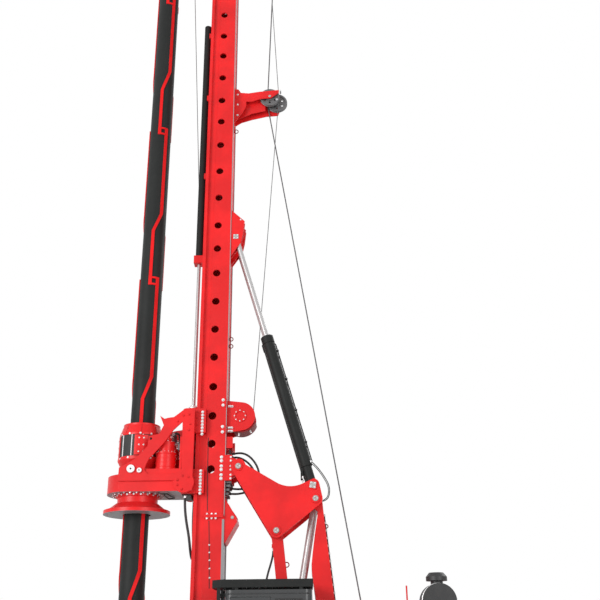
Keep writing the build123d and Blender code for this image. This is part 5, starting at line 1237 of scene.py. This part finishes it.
def cushion(name, low, high, crown, axis):
    """A padded block: rounded sides, a crowned face along an axis and a piped seam."""
    bm = bmesh.new()
    cells = 12
    inset, tuck, dish, bulge = 0.02, 0.055, 0.010, 0.009
    size = [b - a for a, b in zip(low, high)]
    others = [k for k in range(3) if k != axis]

    def place(u, v, w):
        across = 2 * u / cells - 1
        along = 2 * v / cells - 1
        edge = (1 - abs(across) ** 3.5) * (1 - abs(along) ** 3.5)
        swell = crown * max(edge, 0.0) ** 0.45
        pull = tuck * (1 - max(edge, 0.0) ** 0.25)
        spot = [0.0, 0.0, 0.0]
        spot[others[0]] = low[others[0]] + size[others[0]] * (0.5 + across * (0.5 - inset))
        spot[others[1]] = low[others[1]] + size[others[1]] * (0.5 + along * (0.5 - inset))
        dip = dish * math.cos(math.pi * across) * max(edge, 0.0)
        if w:
            spot[axis] = high[axis] - pull * size[axis] - crown + swell - dip
        else:
            spot[axis] = low[axis] + pull * size[axis] + 0.35 * (crown - swell)
        return spot

    top = [[bm.verts.new(place(u, v, 1)) for v in range(cells + 1)] for u in range(cells + 1)]
    base = [[bm.verts.new(place(u, v, 0)) for v in range(cells + 1)] for u in range(cells + 1)]
    for u in range(cells):
        for v in range(cells):
            bm.faces.new([top[u][v], top[u + 1][v], top[u + 1][v + 1], top[u][v + 1]])
            bm.faces.new([base[u][v], base[u][v + 1], base[u + 1][v + 1], base[u + 1][v]])
    rim = [(u, 0) for u in range(cells)] + [(cells, v) for v in range(cells)]
    rim += [(u, cells) for u in range(cells, 0, -1)] + [(0, v) for v in range(cells, 0, -1)]
    middle = []
    for u, v in rim:
        a, b = top[u][v].co, base[u][v].co
        out = Vector(a + b) / 2
        centre = Vector([(l + h) / 2 for l, h in zip(low, high)])
        push = out - centre
        push[axis] = 0
        middle.append(bm.verts.new(out + push.normalized() * bulge))
    for k in range(len(rim)):
        m = (k + 1) % len(rim)
        (u, v), (u2, v2) = rim[k], rim[m]
        bm.faces.new([top[u][v], top[u2][v2], middle[m], middle[k]])
        bm.faces.new([middle[k], middle[m], base[u2][v2], base[u][v]])
    seam = [vert.co.copy() for vert in middle]
    made = closed_piece(name, bm, "seat_fabric", "upper", 180)
    smooth = made.modifiers.new("soft", "SUBSURF")
    smooth.levels = smooth.render_levels = 2
    tube(f"{name}_piping", "upper", "black_plastic", [*seam, seam[0]], 0.005, False, 4)
    return made


seat_cushion = cushion("seat_cushion", (0.78, SEAT_Y - 0.25, 1.85), (1.28, SEAT_Y + 0.25, 1.99), 0.030, 2)
seat_back = cushion("seat_back", (0.72, SEAT_Y - 0.24, 1.99), (0.84, SEAT_Y + 0.24, 2.64), 0.028, 0)
arms = []
for side in (1, -1):
    y = sorted((SEAT_Y + side * 0.255, SEAT_Y + side * 0.325))
    arms.append(((0.85, y[0], 2.09), (1.20, y[1], 2.13)))
blocks("seat_arm_pads", "upper", "black_plastic", arms, 0.014)
stand_profile = [
    (0, 0), (0.16, 0), (0.16, 0.02), (0.12, 0.03), (0.10, 0.06), (0.085, 0.22), (0.11, 0.25), (0.16, 0.26),
    (0.16, 0.288), (0, 0.288),
]
lathe("seat_stand", "upper", "black_plastic", (1.00, SEAT_Y, 1.562), UP, stand_profile, 48)
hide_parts("operator_seat")
console = [(1.66, 1.562), (1.84, 1.562), (1.84, 1.93), (1.74, 2.07), (1.66, 2.03)]
side_plate("console_body", "upper", "black_plastic", console, 0.69, 0.94, 0.012)
for i, y in enumerate((0.75, 0.815, 0.88)):
    button = stud(0.016, 0.006, 0.013, 0.009)
    lathe(
        f"console_button_{i}", "upper", "amber" if i == 1 else "zinc", (1.79, y, 2.0), (0.58, 0, 0.81),
        button, 24,
    )
for hand, y in (("left", 1.30), ("right", 0.72)):
    stem = [(1.17, y, 2.05), (1.19, y, 2.13), (1.20, y, 2.20)]
    tube(f"lever_stem_{hand}", "upper", "zinc", stem, 0.008, True, 4)
    grip = [(0, 0), (0.014, 0), (0.018, 0.02), (0.020, 0.07), (0.024, 0.10), (0.020, 0.125), (0, 0.13)]
    lathe(f"lever_grip_{hand}", "upper", "black_plastic", (1.20, y, 2.19), (0.05, 0, 1), grip, 32)
    blocks(
        f"lever_box_{hand}", "upper", "black_plastic", [((1.00, y - 0.06, 1.99), (1.24, y + 0.06, 2.06))],
        0.012,
    )


# Luffing cylinder's barrel, with the shorter top of the photo

luff_barrel = [
    (0, -0.125), (0.095, -0.125), (0.115, -0.10), (0.115, 0.10), (0.110, 0.12), (0.110, 0.18), (0.115, 0.19),
    (0.115, 1.38), (0.127, 1.385), (0.127, 1.44), (0.080, 1.445), (0, 1.445),
]
luff_at = at_side(LUFF_FOOT, 0)
luff_body = lathe("luff_barrel_body", "luff_barrel", "dark_paint", luff_at, luff_way, luff_barrel, 64)
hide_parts("luff_barrel")


# Track shoes: four bolts a shoe, joint pins of the chain, wheel and drive bolts

SHOE_COUNT = 54
TRACK_END = 2.3
AXIS_Z = 0.5
SHOE_RADIUS = 0.42
RUN = 2 * TRACK_END
LOOP = 2 * RUN + 2 * math.pi * SHOE_RADIUS
LOWEST_SHOE_BOLT = 0.30


def on_track(distance, radius):
    """A point of the chain's loop and its outward direction, in the side view."""
    bend = math.pi * SHOE_RADIUS
    distance %= LOOP
    if distance < RUN:
        return (TRACK_END - distance, AXIS_Z - radius), (0, -1)
    distance -= RUN
    if distance < bend:
        angle = -math.pi / 2 - distance / SHOE_RADIUS
        out = (math.cos(angle), math.sin(angle))
        return (-TRACK_END + radius * out[0], AXIS_Z + radius * out[1]), out
    distance -= bend
    if distance < RUN:
        return (-TRACK_END + distance, AXIS_Z + radius), (0, 1)
    distance -= RUN
    angle = math.pi / 2 - distance / SHOE_RADIUS
    out = (math.cos(angle), math.sin(angle))
    return (TRACK_END + radius * out[0], AXIS_Z + radius * out[1]), out


for hand, side in SIDES:
    body = f"track_side_{hand}"
    centre = side * TRACK_Y
    bm = bmesh.new()
    pins = bmesh.new()
    for i in range(SHOE_COUNT):
        middle = (i + 0.5) * LOOP / SHOE_COUNT
        for step in (-0.062, 0.062):
            (x, z), out = on_track(middle + step, 0.4605)
            if z < LOWEST_SHOE_BOLT:
                continue
            for dy in (-0.085, 0.085):
                add_bolt(bm, (x, centre + dy, z), (out[0], 0, out[1]), 0.026, 0.016)
        (x, z), out = on_track(middle + 0.5 * LOOP / SHOE_COUNT, 0.352)
        for dy in (-1, 1):
            pin = stud(0.024, 0.006, 0.019, 0.010)
            add_lathe(pins, facing((x, centre + dy * 0.110, z), (0, dy, 0)), pin, 16)
    piece(f"shoe_bolts_{hand}", bm, "track_steel", body)
    piece(f"chain_pins_{hand}", pins, "track_steel", body)
    out = (0, side, 0)
    cap = [(0, 0), (0.15, 0), (0.15, 0.006), (0.142, 0.014), (0.09, 0.018), (0.085, 0.024), (0, 0.024)]
    drive, drive_face = ((-TRACK_END, centre + side * y, AXIS_Z) for y in (0.230, 0.246))
    lathe(f"final_drive_cap_{hand}", body, "red_undercarriage", drive, out, cap, 64)
    bolt_ring(f"final_drive_bolts_{hand}", body, drive, out, 0.168, 16, 0.024, 0.018)
    bolt_ring(f"final_drive_inner_{hand}", body, drive_face, out, 0.115, 8, 0.018, 0.014)
    hub = [(0, 0), (0.085, 0), (0.085, 0.012), (0.070, 0.020), (0.03, 0.022), (0, 0.022)]
    idler = (TRACK_END, centre + side * 0.095, AXIS_Z)
    lathe(f"idler_hub_{hand}", body, "red_undercarriage", idler, out, hub, 48)
    for k, x in enumerate((-0.46, 0.46)):
        plate = [(x - 0.24, 0.42), (x + 0.24, 0.42), (x + 0.21, 0.62), (x - 0.21, 0.62)]
        faces = centre + side * 0.230, centre + side * 0.238
        side_plate(f"beam_cover_{k}_{hand}", body, "red_undercarriage", plate, *faces, 0.003)
        corner = [(x + dx, centre + side * 0.238, z) for dx in (-0.17, 0.17) for z in (0.455, 0.585)]
        bolts(f"beam_cover_bolts_{k}_{hand}", body, corner, out, 0.022, 0.014)
    grease = (1.55, centre + side * 0.230, 0.52)
    lathe(
        f"tension_port_{hand}", body, "zinc", grease, out,
        [(0, 0), (0.05, 0), (0.05, 0.008), (0.02, 0.012), (0.018, 0.03), (0, 0.03)], 32,
    )


# Cab: window seals, wiper, lamps, mirror and rails


def frame_of(name, body, corners, width):
    """A rubber seal round a window, on the side from which its four corners run anticlockwise."""
    thick = 0.008
    bm = bmesh.new()
    points = [Vector(c) for c in corners]
    middle = sum(points, Vector()) / 4
    normal = (points[1] - points[0]).cross(points[3] - points[0]).normalized()
    rings = []
    for grow, lift in ((0, 0), (0, thick), (width, thick), (width, 0)):
        ring = []
        for i, point in enumerate(points):
            before = (points[i - 1] - point).normalized()
            after = (points[(i + 1) % 4] - point).normalized()
            ring.append(bm.verts.new(point - (before + after) * grow + normal * lift))
        rings.append(ring)
    for a, b in zip(rings, rings[1:] + rings[:1]):
        for i in range(4):
            j = (i + 1) % 4
            bm.faces.new([a[i], a[j], b[j], b[i]])
    return rounded(closed_piece(name, bm, "rubber", body), 0.003)


def window(name, fixed, at, u0, u1, z0, z1, lean=1):
    """The seal of a window at a fixed x or y. It lies toward +x or -y, or the other way with lean -1."""
    if fixed == "x":
        corners = [(at, u0, z0), (at, u1, z0), (at, u1, z1), (at, u0, z1)]
    else:
        corners = [(u0, at, z0), (u1, at, z0), (u1, at, z1), (u0, at, z1)]
    if lean < 0:
        corners = [corners[0], corners[3], corners[2], corners[1]]
    return frame_of(name, "upper", corners, 0.028)


window("seal_front_upper", "x", CAB_FRONT, 0.69, 1.33, 2.15, 3.05)
window("seal_front_lower", "x", CAB_FRONT, 0.69, 1.33, 1.62, 2.08)
window("seal_left_rear", "y", CAB_LEFT, 0.65, 1.08, 2.20, 3.02, -1)
window("seal_right", "y", 0.52, 0.65, 1.84, 2.20, 3.02)
window("seal_rear", "x", 0.45, 0.72, 1.30, 2.25, 3.00, -1)
tube(
    "wiper_arm", "upper", "black_plastic", [(2.012, 0.76, 2.13), (2.028, 0.80, 2.30), (2.022, 0.96, 2.72)],
    0.007, True, 4,
)
blocks("wiper_blade", "upper", "rubber", [((2.010, 0.952, 2.45), (2.022, 0.966, 2.95))], 0.002)
lathe(
    "wiper_pivot", "upper", "black_plastic", (CAB_FRONT, 0.76, 2.13), (1, 0, 0),
    stud(0.022, 0.02, 0.012, 0.026), 24,
)
for hand, y in (("left", 1.24), ("right", 0.78)):
    shell = [(0, -0.045), (0.035, -0.04), (0.055, -0.015), (0.060, 0.0), (0.060, 0.012), (0.052, 0.012)]
    lathe(f"work_lamp_shell_{hand}", "upper", "black_plastic", (2.05, y, 3.17), (0.97, 0, -0.24), shell, 40)
    lens = [(0, 0.004), (0.052, 0.002), (0.052, 0.008), (0.03, 0.012), (0, 0.013)]
    lathe(f"work_lamp_lens_{hand}", "upper", "lamp", (2.05, y, 3.17), (0.97, 0, -0.24), lens, 40)
tube("cab_drip_rail", "upper", "cab_paint", [(0.47, 1.503, 3.135), (1.98, 1.503, 3.135)], 0.009, False, 4)
tube(
    "cab_mirror_arm", "upper", "black_plastic",
    [(1.985, 1.48, 2.95), (2.06, 1.50, 2.93), (2.075, 1.50, 2.80)], 0.010, True, 4,
)
blocks("cab_mirror_head", "upper", "black_plastic", [((2.045, 1.425, 2.50), (2.075, 1.498, 2.82))], 0.012)
tube(
    "door_handle_grip", "cab_door", "zinc",
    [(1.838, 1.548, 2.26), (1.838, 1.560, 2.30), (1.838, 1.560, 2.43), (1.838, 1.548, 2.47)], 0.008, True, 4,
)
frame_of(
    "seal_door", "cab_door",
    [(1.27, 1.502, 2.14), (1.27, 1.502, 2.99), (1.81, 1.502, 2.99), (1.81, 1.502, 2.14)], 0.026,
)


# Engine house: hatch fittings, grille wire, exhaust cap, bands of the air cleaner, rows of bolts

for hand, side in SIDES:
    body = f"house_door_{hand}"
    out = (0, side, 0)
    face = side * HOUSE_SIDE
    for k, z in enumerate((1.72, 2.38)):
        lathe(
            f"hatch_latch_{k}_{hand}", body, "zinc", (-3.14, face - side * 0.012, z), out,
            [(0, 0), (0.030, 0), (0.030, 0.006), (0.024, 0.012), (0.010, 0.013), (0.010, 0.018), (0, 0.018)],
            32,
        )
        lathe(
            f"hatch_hinge_pin_{k}_{hand}", body, "zinc", (-1.70, side * HOUSE_SIDE, z + 0.062), UP,
            [(0, 0), (0.013, 0), (0.013, 0.006), (0, 0.009)], 20,
        )
    handle = [
        (-2.95, face, 1.60), (-2.95, face + side * 0.03, 1.615), (-2.75, face + side * 0.03, 1.615),
        (-2.75, face, 1.60),
    ]
    tube(f"hatch_handle_{hand}", body, "zinc", handle, 0.008, False, 4)
bm = bmesh.new()
wires = [((-3.12 + 0.86 * i / 22, -0.70, 2.696), (-3.12 + 0.86 * i / 22, 0.50, 2.696)) for i in range(1, 22)]
wires += [((-3.12, -0.70 + 1.2 * i / 30, 2.701), (-2.26, -0.70 + 1.2 * i / 30, 2.701)) for i in range(1, 30)]
for low, high in wires:
    along = Vector(high) - Vector(low)
    add_lathe(bm, facing(low, along), disc(0.0028, along.length), 6)
piece("roof_grille_wire", bm, "zinc", "upper")
bolts(
    "roof_grille_bolts", "upper", [(x, y, 2.652) for x in (-3.10, -2.69, -2.28) for y in (-0.775, 0.575)], UP,
    0.022, 0.014,
)
flap = [(0, 0), (0.078, 0), (0.080, 0.006), (0.078, 0.012), (0, 0.016)]
lathe("exhaust_flap", "upper", "cast_iron", (-1.915, -0.70, 2.992), (-0.22, 0, 1), flap, 40)
clamp = [(0.071, 0), (0.078, 0.004), (0.078, 0.026), (0.071, 0.030)]
lathe("exhaust_clamp", "upper", "zinc", (-1.90, -0.70, 2.74), UP, clamp, 48)
for k, dy in enumerate((-0.16, 0.16)):
    band = [(0.299, 0), (0.308, 0.005), (0.308, 0.035), (0.299, 0.040)]
    lathe(f"cleaner_band_{k}", "upper", "zinc", (-1.79, 1.2 + dy - 0.02, 2.98), (0, 1, 0), band, 64)
fuel_cap = [(0, 0), (0.066, 0), (0.070, 0.006), (0.070, 0.022), (0.060, 0.030), (0.02, 0.034), (0, 0.034)]
lathe("fuel_cap_top", "upper", "black_plastic", (-0.95, -1.2, 2.42), UP, fuel_cap, 40)
seam_bolts = [(x, 1.501, z) for x in (-3.36, -1.49) for z in (1.52, 1.80, 2.08, 2.36, 2.60)]
bolts("house_side_bolts_left", "upper", seam_bolts, (0, 1, 0), 0.020, 0.010)
bolts("house_side_bolts_right", "upper", [(x, -y, z) for x, y, z in seam_bolts], (0, -1, 0), 0.020, 0.010)


# Counterweight: bolts and tail lamps on its sides

for hand, side in SIDES:
    out = (0, side, 0)
    rows = [(x, side * COUNTERWEIGHT_SIDE, z) for x in (-3.95, -3.52) for z in (1.62, 2.38)]
    bolts(f"counterweight_bolts_{hand}", "upper", rows, out, 0.060, 0.036)
    shell = necked(0.060, 0.018, 0.052, 0.024, 0.020)
    lamp_at = (-3.74, side * COUNTERWEIGHT_SIDE, 2.45)
    lathe(f"tail_lamp_shell_{hand}", "upper", "black_plastic", lamp_at, out, shell, 40)
    lens = [(0, 0), (0.051, 0), (0.046, 0.006), (0, 0.008)]
    lathe(f"tail_lamp_lens_{hand}", "upper", "amber", (-3.74, side * 1.47, 2.45), out, lens, 40)


# Kelly: the swivel's bolts

bolt_ring("swivel_bolts", "kelly", (KELLY_X, 0, 19.0), UP, 0.172, 12, 0.024, 0.018)


# Foot lug: a box flush with the mast's sides, with its bolt

lug = [(2.160, 5.007), (2.046, 4.848), (1.900, 4.600), (1.893, 4.530), (2.119, 4.135), (2.160, 4.130)]
side_plate("foot_lug_box", "mast", "red_paint", lug, -0.300, 0.300, 0.006)
for hand, side in SIDES:
    cap = stud(0.034, 0.008, 0.028, 0.014)
    lathe(f"foot_lug_bolt_{hand}", "mast", "pin_steel", (1.985, side * 0.300, 4.616), (0, side, 0), cap, 32)


# Rope guide: a slim near horn, a deeper far arm and a short middle plate

near_arm = [
    (2.150, 14.902), (2.053, 14.888), (1.997, 14.789), (1.811, 14.771), (1.549, 14.815), (1.067, 14.861),
    (1.068, 14.781), (1.264, 14.626), (1.525, 14.604), (1.721, 14.528), (1.862, 14.530), (1.860, 14.399),
    (1.954, 14.193), (2.133, 13.939), (2.150, 13.862),
]
far_arm = [
    (2.150, 14.902), (2.053, 14.888), (1.997, 14.789), (1.811, 14.771), (1.549, 14.815), (1.067, 14.861),
    (1.020, 14.70), (1.020, 14.50), (1.095, 14.282), (1.379, 14.260), (1.727, 14.174), (1.987, 14.087),
    (2.150, 13.973),
]
middle_arm = [
    (2.150, 14.80), (1.811, 14.771), (1.549, 14.790), (1.400, 14.80), (1.400, 14.34), (1.727, 14.26),
    (2.150, 14.06),
]
bm = bmesh.new()
for outline, low, high in ((near_arm, 0.112, 0.134), (far_arm, -0.134, -0.112), (middle_arm, -0.012, 0.012)):
    add_prism(bm, SIDE_VIEW, outline, low, high)
add_block(bm, (2.138, -0.20, 13.86), (2.160, 0.20, 14.90))
for x, z in ((1.811, 14.660), (1.560, 14.700), (1.960, 14.300)):
    add_lathe(bm, facing((x, -0.12, z), (0, 1, 0)), disc(0.026, 0.24), 24)
guide_arms = rounded(closed_piece("rope_guide_arms", bm, "red_paint", "mast"), 0.003)
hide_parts("rope_guide")
for place_name, side, x, z in (("far", -1, 1.119, 14.600), ("near", 1, 1.292, 14.680)):
    pin = stud(0.034, 0.010, 0.026, 0.016)
    lathe(f"guide_pin_cap_{place_name}", "mast", "pin_steel", (x, side * 0.134, z), (0, side, 0), pin, 32)
    lathe(f"guide_axle_{place_name}", "mast", "steel", (x, -0.120, z), (0, 1, 0), disc(0.030, 0.232), 32)
bolts(
    "guide_plate_bolts", "mast",
    [(x, 0.134, z) for x, z in ((2.072, 14.735), (2.071, 14.439), (2.071, 14.14))], (0, 1, 0), 0.030, 0.018,
)


# Light, floor and backdrop


def area_light(name, at, towards, size, power):
    """A soft box that looks at a point."""
    data = bpy.data.lights.new(name, "AREA")
    data.energy = power
    data.size = size
    light = bpy.data.objects.new(name, data)
    light.location = at
    light.rotation_euler = (Vector(towards) - Vector(at)).to_track_quat("-Z", "Y").to_euler()
    scene.collection.objects.link(light)


area_light("key_light", (24, 27, 12), (2, 0, 7), 14, 6100)
area_light("side_light", (-17, 27, 9), (2, 0, 7), 12, 2300)
area_light("rear_light", (-20, -14, 22), (0, 0, 8), 10, 1300)

world = bpy.data.worlds.new("studio")
scene.world = world
world.use_nodes = True
sky = world.node_tree
sky.nodes.clear()
rays = put(sky, "LightPath")
seen = math_of(sky, "MAXIMUM", rays.outputs["Is Camera Ray"], rays.outputs["Is Glossy Ray"])
seen = math_of(sky, "MAXIMUM", seen, rays.outputs["Is Transmission Ray"])
light_dome = put(sky, "Background", Color=(1, 1, 1, 1), Strength=0.42)
white_sky = put(sky, "Background", Color=(1, 1, 1, 1), Strength=1.0)
blend_sky = put(sky, "MixShader", _0=seen, _1=light_dome.outputs[0], _2=white_sky.outputs[0])
sky_out = sky.nodes.new("ShaderNodeOutputWorld")
sky.links.new(blend_sky.outputs[0], sky_out.inputs["Surface"])

bpy.ops.mesh.primitive_plane_add(size=160, location=(0, 0, -0.002))
floor = bpy.context.object
floor.name = "floor"
floor_look, floor_tree, floor_shader = material(Roughness=0.8)
floor_spots = spots(floor_tree, object_space(floor_tree), 0.6, 4.0)
floor_tone = colour_between(floor_tree, floor_spots, (0.80, 0.80, 0.80, 1), (0.84, 0.84, 0.84, 1))
floor_tree.links.new(floor_tone, floor_shader.inputs["Base Color"])
floor_look.name = "floor"
floor.data.materials.append(floor_look)

scene.view_settings.view_transform = "Standard"
